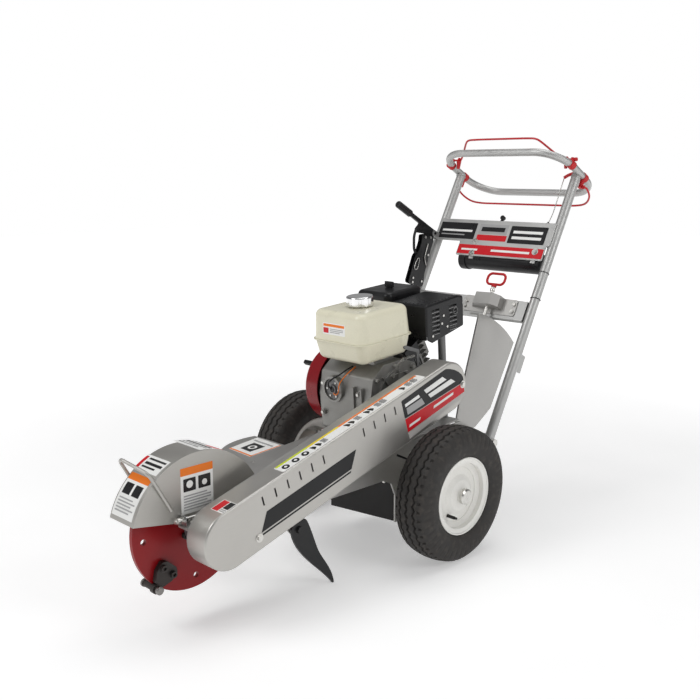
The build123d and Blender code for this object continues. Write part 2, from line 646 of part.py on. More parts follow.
# ---- fan cover and recoil starter ----
FAN_X0, FAN_X1 = -162, -104
RECOIL_X0 = -188
with BuildPart() as fan_cover:
    with BuildSketch(ENGINE.offset(FAN_X0)) as scroll:
        Circle(123)
        with Locations((46, 34)):
            Circle(92)
        make_hull()
    extrude(scroll.sketch, amount=FAN_X1 - FAN_X0)
    fillet(fan_cover.faces().sort_by(Axis.X)[0].edges(), 10)
    with BuildSketch(ENGINE.offset(FAN_X0 + GAUGE)) as scroll_inside:
        Circle(123 - GAUGE)
        with Locations((46, 34)):
            Circle(92 - GAUGE)
        make_hull()
    extrude(scroll_inside.sketch, amount=FAN_X1 - FAN_X0 - GAUGE, mode=Mode.SUBTRACT)
    bar(ENGINE, 0, 0, 74, FAN_X0, FAN_X0 + GAUGE, Mode.SUBTRACT)
save(fan_cover, "fan_cover")

RECOIL_R = 88
ROPE_TURN = 135
with BuildPart() as recoil_cover:
    turned(ENGINE, 0, 0, [(FAN_X0, RECOIL_R), (FAN_X0 - 18, RECOIL_R - 6), (RECOIL_X0, RECOIL_R - 22),
                          (RECOIL_X0, 0), (RECOIL_X0 + 3, 0), (RECOIL_X0 + 3, RECOIL_R - 25),
                          (FAN_X0 - 16, RECOIL_R - 10), (FAN_X0, RECOIL_R - 4)])
    for i in range(12):
        view = side_view(CRANK_Y, CRANK_Z, ENGINE_TILT + 30 * i)
        block(view, 26, 58, -4, 4, RECOIL_X0, RECOIL_X0 + 3, 3, Mode.SUBTRACT)
    rope_view = side_view(CRANK_Y, CRANK_Z, ENGINE_TILT + ROPE_TURN)
    post(Plane(origin=place(rope_view, FAN_X0 - 8, 60, 0), z_dir=rope_view.x_dir), 4, 40, Mode.SUBTRACT)
save(recoil_cover, "recoil_cover")

with BuildPart() as recoil_grip:
    rope_start = Plane(origin=place(rope_view, FAN_X0 - 8, 16, 0), z_dir=rope_view.x_dir)
    post(rope_start, 2.5, 84)
    block(rope_view, 95, 112, -7, 7, FAN_X0 - 42, FAN_X0 - 2, 5)
save(recoil_grip, "recoil_grip")

# ---- fuel tank ----
TANK_X, TANK_BACK, TANK_UP = 18, -29, 182
TANK_WIDE, TANK_LONG = 224, 227
NECK_BACK = -32
NECK_R = 27
WALL = 3


def tank_form(inset):
    """The tank's rounded body, drawn in from its surface."""
    with BuildPart() as form:
        for sense, rise, taper in ((1, 92, 4), (-1, 63, 13)):
            seam_plane = Plane(origin=place(ENGINE, TANK_X, TANK_BACK, TANK_UP), x_dir=(1, 0, 0),
                               z_dir=sense * ENGINE.y_dir)
            with BuildSketch(seam_plane) as seam:
                Rectangle(TANK_WIDE - 2 * inset, TANK_LONG - 2 * inset)
                fillet(seam.vertices(), 36 - inset)
            extrude(seam.sketch, amount=rise - inset, taper=taper)
        top_and_bottom = form.faces().sort_by(Axis.Z)
        fillet(top_and_bottom[-1].edges() + top_and_bottom[0].edges(), 20 - inset)
    return form.part


tank_outer = tank_form(0)
tank_inner = tank_form(WALL)
with BuildPart() as fuel_tank:
    add(tank_outer)
    pad(upward(ENGINE, TANK_X, TANK_BACK, TANK_UP - 1.5), TANK_WIDE + 9, TANK_LONG + 9, 3, 38)
    post(upward(ENGINE, TANK_X, NECK_BACK, 260), NECK_R, 38)
    add(tank_inner, mode=Mode.SUBTRACT)
    post(upward(ENGINE, TANK_X, NECK_BACK, 250), NECK_R - 3, 48, Mode.SUBTRACT)
save(fuel_tank, "fuel_tank")

CAP_UP = 279
with BuildPart() as tank_cap:
    post(upward(ENGINE, TANK_X, NECK_BACK, CAP_UP), 42, 28)
    fillet(tank_cap.faces().sort_by(Axis.Z)[-1].edges(), 5)
    post(upward(ENGINE, TANK_X, NECK_BACK, CAP_UP), NECK_R + GAP, 20, Mode.SUBTRACT)
    for i in range(8):
        turn = 2 * pi * i / 8
        post(upward(ENGINE, TANK_X + 45 * cos(turn), NECK_BACK + 45 * sin(turn), CAP_UP), 6, 22, Mode.SUBTRACT)
save(tank_cap, "tank_cap")

# ---- muffler and its guard ----
GUARD_BACK0, GUARD_BACK1, GUARD_UP0, GUARD_UP1 = 122, 308, 140, 267
MUFFLER_GUARD_X0, MUFFLER_GUARD_X1 = 13, 150
SHEET = 2
STAY_X, STAY_BACK, STAY_R = 120, 228, 12.5
with BuildPart() as muffler:
    block(ENGINE, 138, 292, 152, 252, 28, 136, 22)
    block(ENGINE, 140, 290, 154, 250, 30, 134, 20, Mode.SUBTRACT)
    post(upward(ENGINE, 56, 196, 140), 14, 13)
    bar(ENGINE, 262, 220, 11, 134, MUFFLER_GUARD_X1 + 4)
    bar(ENGINE, 262, 220, 9, 130, MUFFLER_GUARD_X1 + 4, Mode.SUBTRACT)
    # stay down to the deck
    post(upward(ENGINE, STAY_X, STAY_BACK, -CRANK_HEIGHT), STAY_R, CRANK_HEIGHT + 152.5)
save(muffler, "muffler")

MUFFLER_SIDE = [
    (GUARD_BACK0, GUARD_UP0 + 8), (GUARD_BACK0 + 26, GUARD_UP0 - 6), (GUARD_BACK1, GUARD_UP0 + 22),
    (GUARD_BACK1, GUARD_UP1 - 6), (GUARD_BACK1 - 30, GUARD_UP1), (GUARD_BACK0, GUARD_UP1 - 8),
]
with BuildPart() as muffler_guard:
    plate(ENGINE, MUFFLER_SIDE, MUFFLER_GUARD_X0, MUFFLER_GUARD_X1, 9)
    fillet(muffler_guard.faces().sort_by(Axis.X)[-1].edges(), 7)
    inside = [(GUARD_BACK0 + SHEET, 90), (GUARD_BACK1 - SHEET, 90), (GUARD_BACK1 - SHEET, GUARD_UP1 - 9),
              (GUARD_BACK1 - 31, GUARD_UP1 - SHEET), (GUARD_BACK0 + SHEET, GUARD_UP1 - 11)]
    plate(ENGINE, inside, MUFFLER_GUARD_X0, MUFFLER_GUARD_X1 - SHEET, 8, Mode.SUBTRACT)
    for column in (146, 232):
        for row in range(6):
            up = 166 + 14 * row
            block(ENGINE, column, column + 40, up, up + 5, 130, MUFFLER_GUARD_X1, 2.4, Mode.SUBTRACT)
    for x in range(26, 140, 16):
        pad(upward(ENGINE, x, 134, 240), 7, 3.5, 60, mode=Mode.SUBTRACT)
    for back in range(150, 270, 16):
        pad(upward(ENGINE, 139, back, 240), 3.5, 8, 60, mode=Mode.SUBTRACT)
    bar(ENGINE, 262, 220, 12.5, 130, MUFFLER_GUARD_X1, Mode.SUBTRACT)
save(muffler_guard, "muffler_guard")

# ---- carburettor, air cleaner and their controls ----
CARB_X0, CARB_X1 = -122, -84
with BuildPart() as carburettor:
    block(ENGINE, 152, 200, 78, 120, CARB_X0, CARB_X1, 4)
    post(upward(ENGINE, -103, 176, 44), 17, 34)
    bar(ENGINE, 176, 104, 11, CARB_X1, CYL_X0 - 0.5)
    for back, up in ((165, 92), (188, 112)):
        bar(ENGINE, back, up, 3, CARB_X0 - 9, CARB_X0)
save(carburettor, "carburettor")


def control_lever(piece_back, piece_up, turn, length):
    """A small sheet lever with a round knob, pivoted on a stub of the carburettor."""
    view = side_view(CRANK_Y, CRANK_Z, ENGINE_TILT)
    eye = view.from_local_coords(Vector(piece_back, piece_up, 0))
    lever_view = side_view(eye.Y - AXLE_Y, eye.Z, ENGINE_TILT + turn)
    block(lever_view, -6, length, -5, 5, CARB_X0 - 5, CARB_X0 - 2, 4)
    bar(lever_view, length - 6, 0, 6, CARB_X0 - 12, CARB_X0 - 5)
    bar(lever_view, 0, 0, 3 + RUN, CARB_X0 - 5, CARB_X0 - 2, Mode.SUBTRACT)


with BuildPart() as throttle_lever:
    control_lever(165, 92, -55, 52)
save(throttle_lever, "throttle_lever")

with BuildPart() as choke_lever:
    control_lever(188, 112, 25, 40)
save(choke_lever, "choke_lever")

FILTER_X, FILTER_BACK = -85, 214
FILTER_X_SIZE, FILTER_BACK_SIZE = 148, 172
with BuildPart() as air_cleaner_base:
    pad(upward(ENGINE, FILTER_X, FILTER_BACK, 204), FILTER_X_SIZE - 10, FILTER_BACK_SIZE - 10, 18, 16)
    post(upward(ENGINE, -103, 176, 120), 16, 84)
    post(upward(ENGINE, FILTER_X, FILTER_BACK, 222), 3, 76)
save(air_cleaner_base, "air_cleaner_base")

with BuildPart() as air_cleaner_lid:
    pad(upward(ENGINE, FILTER_X, FILTER_BACK, 222), FILTER_X_SIZE, FILTER_BACK_SIZE, 60, 22)
    fillet(air_cleaner_lid.faces().sort_by(Axis.Z)[-1].edges(), 14)
    pad(upward(ENGINE, FILTER_X, FILTER_BACK, 222), FILTER_X_SIZE - 6, FILTER_BACK_SIZE - 6, 45, 19,
        Mode.SUBTRACT)
    post(upward(ENGINE, FILTER_X, FILTER_BACK, 250), 3.4, 40, Mode.SUBTRACT)
save(air_cleaner_lid, "air_cleaner_lid")

with BuildPart() as air_cleaner_knob:
    post(upward(ENGINE, FILTER_X, FILTER_BACK, 282.4), 11, 10)
    pad(upward(ENGINE, FILTER_X, FILTER_BACK, 284), 38, 7, 18, 3)
    post(upward(ENGINE, FILTER_X, FILTER_BACK, 282), 3 + RUN, 17, Mode.SUBTRACT)
save(air_cleaner_knob, "air_cleaner_knob")

# =====================================================================================
# wheels
# =====================================================================================

HALF = TYRE_WIDTH / 2
SIDES = {"near": 1, "far": -1}


def wheel_profile(sign, points):
    """A wheel's half-section, from offsets outward of its middle, in place across the machine."""
    return [(sign * (TRACK / 2 + out), radius) for out, radius in points]


TYRE_OUTER = [
    (-42.4, 104), (-45.2, 117.9), (-47, 118.5), (-53, 119.5), (-58, 136), (-HALF, 155), (-58, 176), (-50, 193),
    (-44, 198), (-22, 203.6), (0, TYRE_R), (22, 203.6), (44, 198), (50, 193), (58, 176), (HALF, 155),
    (58, 136), (53, 119.5), (47, 118.5), (45.2, 117.9), (42.4, 104),
]
TYRE_INNER = [(34, 104), (39, 124), (51, 155), (42, 184), (0, 193), (-42, 184), (-51, 155), (-39, 124),
              (-34, 104)]
for name, sign in SIDES.items():
    with BuildPart() as tyre:
        turned(SIDE, 0, TYRE_R, wheel_profile(sign, TYRE_OUTER + TYRE_INNER))
        for out in (-30, -10, 10, 30):
            groove = [(out - 2, 199 - abs(out) / 20), (out + 2, 199 - abs(out) / 20), (out + 3.5, 208),
                      (out - 3.5, 208)]
            centre = place(SIDE, 0, 0, TYRE_R)
            with BuildSketch(Plane(origin=centre, x_dir=(1, 0, 0), z_dir=(0, -1, 0))) as cut:
                with BuildLine():
                    Polyline(*wheel_profile(sign, groove), close=True)
                make_face()
            revolve(cut.sketch, axis=Axis(centre, (1, 0, 0)), mode=Mode.SUBTRACT)
        valve_x = sign * (TRACK / 2 + 26)
        bar(SIDE, -46, TYRE_R - 55, 5, min(valve_x, valve_x + sign * 34), max(valve_x, valve_x + sign * 34))
    save(tyre, f"tyre_{name}")

RIM_BARREL = [
    (-51, RIM_R), (-46, RIM_R), (-43, 103.5), (-29, 103.5), (-23, 88), (23, 88), (29, 103.5), (43, 103.5),
    (46, RIM_R), (51, RIM_R), (51, 114), (48, 112), (45.5, 100), (31, 100), (25, 84), (-25, 84), (-31, 100),
    (-45.5, 100), (-48, 112), (-51, 114),
]
HUB_END = 50
WEB = [(20, 84.5), (23, 84.5), (28, 62), (37, 46), (43, 21), (39, 21), (33.5, 44), (24.5, 60)]
for name, sign in SIDES.items():
    with BuildPart() as rim:
        turned(SIDE, 0, TYRE_R, wheel_profile(sign, RIM_BARREL))
        turned(SIDE, 0, TYRE_R, wheel_profile(sign, WEB))
        hub = (sign * (TRACK / 2 - 45), sign * (TRACK / 2 + HUB_END))
        bar(SIDE, 0, TYRE_R, 22, min(hub), max(hub))
        if name == "far":
            # brake drum on the inner side of the web
            drum_x = (-TRACK / 2 - 21, BAND_X1 + 1)
            bar(SIDE, 0, TYRE_R, BRAKE_DRUM_R, *drum_x)
            bar(SIDE, 0, TYRE_R, BRAKE_DRUM_R - 4, drum_x[0] + 4, drum_x[1], Mode.SUBTRACT)
            bar(SIDE, 0, TYRE_R, 22, min(hub), max(hub))
        bar(SIDE, 0, TYRE_R, AXLE_R + RUN, min(hub), max(hub), Mode.SUBTRACT)
        valve_x = sign * (TRACK / 2 + 14)
        bar(SIDE, -46, TYRE_R - 55, 5.5, min(valve_x, valve_x + sign * 20), max(valve_x, valve_x + sign * 20),
            Mode.SUBTRACT)
    save(rim, f"rim_{name}")

# =====================================================================================
# stand
# =====================================================================================

STAND_X0, STAND_X1 = 192 + GAP, 200
with BuildPart() as stand:
    with BuildSketch(SIDE.offset(STAND_X0)) as blade:
        with BuildLine():
            Spline((-533, 202), (-527, 174), (-492, 117), (-432, 56), (-382, 3))
            ThreePointArc((-382, 3), (-378, 0), (-375, 5))
            Spline((-375, 5), (-394, 52), (-432, 111), (-456, 169), (-476, 214))
            ThreePointArc((-476, 214), (-506, 226), (-533, 202))
        make_face()
    extrude(blade.sketch, amount=STAND_X1 - STAND_X0)
    bar(SIDE, STAND_Y, STAND_Z, 6, PLATE_X - 8, STAND_X1)
    hexagon(SIDE, STAND_Y, STAND_Z, 10, STAND_X1, STAND_X1 + 7)
    hexagon(SIDE, STAND_Y, STAND_Z, 10, PLATE_X - 8, PLATE_X - GAP)
save(stand, "stand")

# =====================================================================================
# handle
# =====================================================================================

CROSSBAR = (-16, 9, 417, 487)
PANEL_B0, PANEL_B1 = -20, -16
PIN_BOLTS = [(-9, 464), (-9, 446), (189, 470), (189, 444)]
PANEL_BOLTS = [(-63, 690), (-60, 645), (201, 666)]
HINGES = {"upper": (-62, LOOP_S + 19.5), "lower": (30.5, LOOP_S - 36)}
WIRE_R = 3
HINGE_X = 258
EAR_X0, EAR_X1 = -256, -235
LEVER_B, LEVER_S = -45, 701
CABLE_R, THIN_CABLE_R = 4.5, 3.5
BRACKET_S = 517


def handle_point(x, back, along):
    """A point of the handle's frame."""
    return place(HANDLE, x, back, along)


harness_route = [handle_point(*p) for p in
                 ((60, -6, 735), (231, 16, 727), (231, 16, 170), (243, 6, 96))]
brake_route = [handle_point(*p) for p in
               ((-249, -24, BRACKET_S), (-249, -22, 190), (-249, -9, 112))]


def tube(route, corner, radius, mode=Mode.ADD):
    """A round cable of straight runs joined by arcs."""
    with BuildLine() as path:
        FilletPolyline(*route, radius=corner)
    with BuildSketch(Plane(path.line @ 0, z_dir=path.line % 0)) as section:
        Circle(radius)
    sweep(section.sketch, path=path.line, mode=mode)


def entry(route, radius):
    """The hole that a cable's last run makes in a leg."""
    before, end = route[-2], route[-1]
    run = end - before
    start = before + run * 0.25
    post(Plane(origin=start, z_dir=run.normalized()), radius, run.length * 0.8, Mode.SUBTRACT)


def loop_tube(radius, mode=Mode.ADD):
    """The round-cornered loop that the operator holds."""
    corners = ((-LOOP_X, -LOOP_B), (LOOP_X, -LOOP_B), (LOOP_X, LOOP_B), (-LOOP_X, LOOP_B))
    with BuildLine() as path:
        FilletPolyline(*[handle_point(x, back, LOOP_S) for x, back in corners], radius=LOOP_CORNER,
                       close=True)
    with BuildSketch(Plane(path.line @ 0, z_dir=path.line % 0)) as section:
        Circle(radius)
    sweep(section.sketch, path=path.line, mode=mode)


with BuildPart() as handle_frame:
    for sign in (-1, 1):
        post(upward(HANDLE, sign * LEG_X, 0, -28), LEG_R, LOOP_S + 23)
        post(upward(HANDLE, sign * LEG_X, 0, -29), LEG_R - 2.5, LOOP_S + 16, Mode.SUBTRACT)
    loop_tube(LOOP_R)
    back0, back1, s0, s1 = CROSSBAR
    block(HANDLE, back0, back1, s0, s1, -LEG_X + 14, LEG_X - 14)
    block(HANDLE, back0 + 3, back1 - 3, s0 + 3, s1 - 3, -LEG_X + 13, LEG_X - 13, mode=Mode.SUBTRACT)
    # tab on the near leg
    block(HANDLE, 12, 46, 255, 315, LEG_X - 3, LEG_X + 3)
    # ears of the brake lever and the anchor of its cable
    for x in (EAR_X0, EAR_X1 - 6):
        block(HANDLE, -54, -12, 690, 712, x, x + 6)
    block(HANDLE, -32, -12, BRACKET_S - 6, BRACKET_S, -257, -241)
    bar(HANDLE, LEVER_B, LEVER_S, 5 + RUN, EAR_X0, EAR_X1, Mode.SUBTRACT)
    for sign in (-1, 1):
        bar(HANDLE, 0, 0, 8 + RUN, sign * LEG_X - 20, sign * LEG_X + 20, Mode.SUBTRACT)
    for x, along in PIN_BOLTS:
        post(forward(HANDLE, x, 20, along), M8_HOLE_R, 50, Mode.SUBTRACT)
    entry(harness_route, CABLE_R + 0.8)
    entry(brake_route, THIN_CABLE_R + 0.8)
    post(upward(HANDLE, -249, -24, BRACKET_S - 8), THIN_CABLE_R + 0.3, 12, Mode.SUBTRACT)
save(handle_frame, "handle_frame")

with BuildPart() as handle_cables:
    tube(harness_route, 60, CABLE_R)
    tube(brake_route, 60, THIN_CABLE_R)
save(handle_cables, "handle_cables")

# ---- pivot bolts, fixed in the cross tube ----
with BuildPart() as pivot_bolts:
    for sign in (-1, 1):
        for radius, near_end, far_end in ((8, CROSS_X, LEG_X + 22), (13, LEG_X + LEG_R + GAP, LEG_X + 28)):
            bar(SIDE, PIVOT_Y, PIVOT_Z, radius, min(sign * near_end, sign * far_end),
                max(sign * near_end, sign * far_end))
save(pivot_bolts, "pivot_bolts")

# ---- control panel ----
SADDLES_X = (-70, 191)
CAN_B, CAN_S, CAN_R = 22, 638, 34
CAN_X0, CAN_X1 = -110, 220
TOGGLE_X, TOGGLE_S = 18, 764
with BuildPart() as control_panel:
    with BuildSketch(forward(HANDLE, 0, PANEL_B1, 0)) as face:
        with BuildLine():
            Polyline((-250, 775), (-250, 690), (-130, 690), (-130, 635), (236, 635), (236, 690), (250, 690),
                     (250, 775), close=True)
        make_face()
        fillet(face.vertices(), 5)
    extrude(face.sketch, amount=PANEL_B1 - PANEL_B0)
    for x in SADDLES_X:
        block(HANDLE, PANEL_B1, CAN_B, CAN_S - 12, CAN_S + 12, x, x + 18)
        bar(HANDLE, CAN_B, CAN_S, CAN_R, x, x + 18, Mode.SUBTRACT)
    for x, along in PANEL_BOLTS:
        post(forward(HANDLE, x, PANEL_B1, along), M8_HOLE_R, 4, Mode.SUBTRACT)
    post(forward(HANDLE, TOGGLE_X, -8, TOGGLE_S), 4, 9)
    # switch body behind the panel, and the notch for the brake lever's ears
    block(HANDLE, PANEL_B1, 2, 722, 748, 30, 60, 3)
    block(HANDLE, PANEL_B0, PANEL_B1, 684, 718, -251, -232, mode=Mode.SUBTRACT)
save(control_panel, "control_panel")

with BuildPart() as stop_toggle:
    with BuildSketch(forward(HANDLE, TOGGLE_X, -11, TOGGLE_S)) as lever:
        with Locations((0, 10)):
            Rectangle(11, 34)
        fillet(lever.vertices(), 5)
        Circle(4 + RUN, mode=Mode.SUBTRACT)
    extrude(lever.sketch, amount=4)
    with BuildSketch(forward(HANDLE, TOGGLE_X, -7, TOGGLE_S)) as knob:
        with Locations((0, 26)):
            Circle(8)
    extrude(knob.sketch, amount=12)
save(stop_toggle, "stop_toggle")

with BuildPart() as manual_canister:
    bar(HANDLE, CAN_B, CAN_S, CAN_R, CAN_X0, CAN_X1)
    bar(HANDLE, CAN_B, CAN_S, CAN_R - 3, CAN_X0, CAN_X1 - 3, Mode.SUBTRACT)
save(manual_canister, "manual_canister")

with BuildPart() as canister_cap:
    bar(HANDLE, CAN_B, CAN_S, CAN_R + 3, CAN_X0 - 8, CAN_X0 + 20)
    bar(HANDLE, CAN_B, CAN_S, CAN_R + RUN, CAN_X0 - 5, CAN_X0 + 20, Mode.SUBTRACT)
save(canister_cap, "canister_cap")

# ---- height pin and its bracket ----
BOX_X0, BOX_X1, BOX_S0, BOX_S1 = 22, 145, 446, 487
with BuildPart() as pin_bracket:
    with BuildSketch(forward(HANDLE, 0, back0, 0)) as face:
        with Locations((90, 458)):
            Rectangle(220, 58)
        fillet(face.vertices(), 8)
    extrude(face.sketch, amount=4)
    with BuildSketch(upward(HANDLE, 0, 0, BOX_S0)) as box:
        with BuildLine():
            Polyline((BOX_X0, -20), (BOX_X0 + 30, -64), (BOX_X1 - 22, -70), (BOX_X1, -48), (BOX_X1, -20),
                     close=True)
        make_face()
    extrude(box.sketch, amount=BOX_S1 - BOX_S0)
    post(upward(HANDLE, PIN_X, PIN_B, 420), PIN_R + RUN, 100, Mode.SUBTRACT)
    post(upward(HANDLE, PIN_X, PIN_B, BOX_S0 + 4), 12, BOX_S1 - BOX_S0 - 8, Mode.SUBTRACT)
    for x, along in PIN_BOLTS:
        post(forward(HANDLE, x, back0, along), M8_HOLE_R, 4, Mode.SUBTRACT)
save(pin_bracket, "pin_bracket")

PIN_TIP = SECTOR_R - 1
PIN_TOP = 521
with BuildPart() as lock_pin:
    post(upward(HANDLE, PIN_X, PIN_B, PIN_TIP), PIN_R, PIN_TOP - PIN_TIP)
    post(upward(HANDLE, PIN_X, PIN_B, 501), 9, 7)
save(lock_pin, "lock_pin")

RING_R = 4.5
with BuildPart() as lock_ring:
    with BuildLine() as ring_path:
        FilletPolyline(*[handle_point(PIN_X + x, PIN_B, PIN_TOP + along) for x, along in
                         ((-36, RING_R), (36, RING_R), (36, 44), (-36, 44))], radius=16, close=True)
    with BuildSketch(Plane(ring_path.line @ 0, z_dir=ring_path.line % 0)):
        Circle(RING_R)
    sweep()
    post(upward(HANDLE, PIN_X, PIN_B, PIN_TOP - 6), 9, 8)
    post(upward(HANDLE, PIN_X, PIN_B, PIN_TOP - 6), PIN_R, 6, Mode.SUBTRACT)
save(lock_ring, "lock_ring")

with BuildPart() as handle_bolts:
    for x, along in PIN_BOLTS:
        post(forward(HANDLE, x, back1 + 2, along), M8_R, 30)
        for start, length in ((back0 - 4, 5.5), (back1 + 6.5, 6.5)):
            with BuildSketch(forward(HANDLE, x, start, along)) as head:
                RegularPolygon(7.5, 6)
            extrude(head.sketch, amount=length)
    for x, along in PANEL_BOLTS:
        post(forward(HANDLE, x, PANEL_B1, along), M8_R, 4)
        with BuildSketch(forward(HANDLE, x, PANEL_B0, along)) as head:
            RegularPolygon(7.5, 6)
        extrude(head.sketch, amount=5.5)
save(handle_bolts, "handle_bolts")

# ---- bails and their clamps on the loop ----
with BuildPart() as bail_clamps:
    for back, along in HINGES.values():
        for sign in (-1, 1):
            x = sign * LOOP_X
            low, high = min(along - 8, LOOP_S), max(along + 8, LOOP_S)
            block(HANDLE, back - 11, back + 11, low, high, x - 11, x + 11, 3)
            post(forward(HANDLE, x, back + 14, LOOP_S), LOOP_R + 5, 28)
            bar(HANDLE, back, along, WIRE_R + RUN, x - 12, x + 12, Mode.SUBTRACT)
    loop_tube(LOOP_R, Mode.SUBTRACT)
save(bail_clamps, "bail_clamps")


def bail(hinge, bar_b, bar_s, bar_x):
    """A bent wire hinged at both sides, with a cable arm moulded on at each hinge."""
    back, along = hinge
    ends = [(HINGE_X + 8, back, along), (HINGE_X - 36, back, along), (bar_x, bar_b, bar_s)]
    route = [(-x, b, s) for x, b, s in ends] + [(x, b, s) for x, b, s in reversed(ends)]
    tube([handle_point(*p) for p in route], 10, WIRE_R)


with BuildPart() as upper_bail:
    bail(HINGES["upper"], -148, LOOP_S + 54, 152)
    back, along = HINGES["upper"]
    for x in (-HINGE_X + 22, HINGE_X - 28):
        plate(HANDLE, [(back - 8, along - 8), (back + 4, along - 30), (back + 14, along - 26),
                       (back + 9, along + 8), (back - 6, along + 9)], x, x + 6, 3)
save(upper_bail, "upper_bail")

with BuildPart() as lower_bail:
    bail(HINGES["lower"], 113, LOOP_S - 67, 142)
save(lower_bail, "lower_bail")

# ---- wheel brake lever ----
LEVER_X0, LEVER_X1 = -249.5, -241.5
with BuildPart() as brake_lever:
    plate(HANDLE, [(-36, 692), (-60, 689), (-132, 662), (-143, 672), (-133, 698), (-200, 699), (-200, 713),
                   (-50, 714), (-36, 710)], LEVER_X0, LEVER_X1, 3)
    bar(HANDLE, LEVER_B, LEVER_S, 5, EAR_X0 - 3, EAR_X1 + 3)
    post(forward(HANDLE, (LEVER_X0 + LEVER_X1) / 2, -196, 706), 13, 76)
    fillet(brake_lever.faces().sort_by(Axis((0, 0, 0), HANDLE.x_dir))[0].edges(), 6)
save(brake_lever, "brake_lever")
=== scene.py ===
"""Looks of the walk-behind stump grinder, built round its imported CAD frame. Metres, +Z up."""
import math

import bmesh
import bpy
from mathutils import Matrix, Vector


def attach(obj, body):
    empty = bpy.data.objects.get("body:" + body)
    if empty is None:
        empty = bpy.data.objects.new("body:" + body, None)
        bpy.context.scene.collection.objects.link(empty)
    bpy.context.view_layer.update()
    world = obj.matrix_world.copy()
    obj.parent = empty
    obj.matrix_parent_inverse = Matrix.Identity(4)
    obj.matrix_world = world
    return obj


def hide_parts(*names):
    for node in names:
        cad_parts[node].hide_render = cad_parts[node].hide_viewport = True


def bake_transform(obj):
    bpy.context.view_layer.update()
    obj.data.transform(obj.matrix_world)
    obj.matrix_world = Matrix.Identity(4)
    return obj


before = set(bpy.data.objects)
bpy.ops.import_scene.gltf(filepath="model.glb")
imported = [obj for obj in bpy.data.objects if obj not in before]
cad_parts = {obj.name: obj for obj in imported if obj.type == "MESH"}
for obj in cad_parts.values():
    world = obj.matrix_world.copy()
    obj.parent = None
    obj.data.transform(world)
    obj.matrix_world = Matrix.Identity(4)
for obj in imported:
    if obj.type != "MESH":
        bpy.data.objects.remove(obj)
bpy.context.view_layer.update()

MM = 0.001
AXLE_Y = 45.2                     # the axle, behind the middle of the machine
TYRE_R = 205
TRACK = 639.3
DRUM_Y, DRUM_Z, DRUM_R = -778, 256, 206
DRUM_X1 = 130
GUARD_X = 250                     # the belt guard's outer face
LEG_X = 249                       # the handle's legs
LOOP_S = 975                      # the loop's plane, along the legs from their pivot
HINGE_X = 258                     # the bails' hinges on the loop
CAST_FRONT = -114                 # the crankcase's front wall, from the crank
MUFFLER_FACE_X = 150
CLEAR_SKIN = 0.02                 # how far a label's foot stands off its surface
LABEL_THICK = 0.22


# ---- materials ----------------------------------------------------------------------

def shade(colour, factor):
    """A colour made lighter or darker."""
    return tuple(min(1.0, c * factor) for c in colour) + (1.0,)


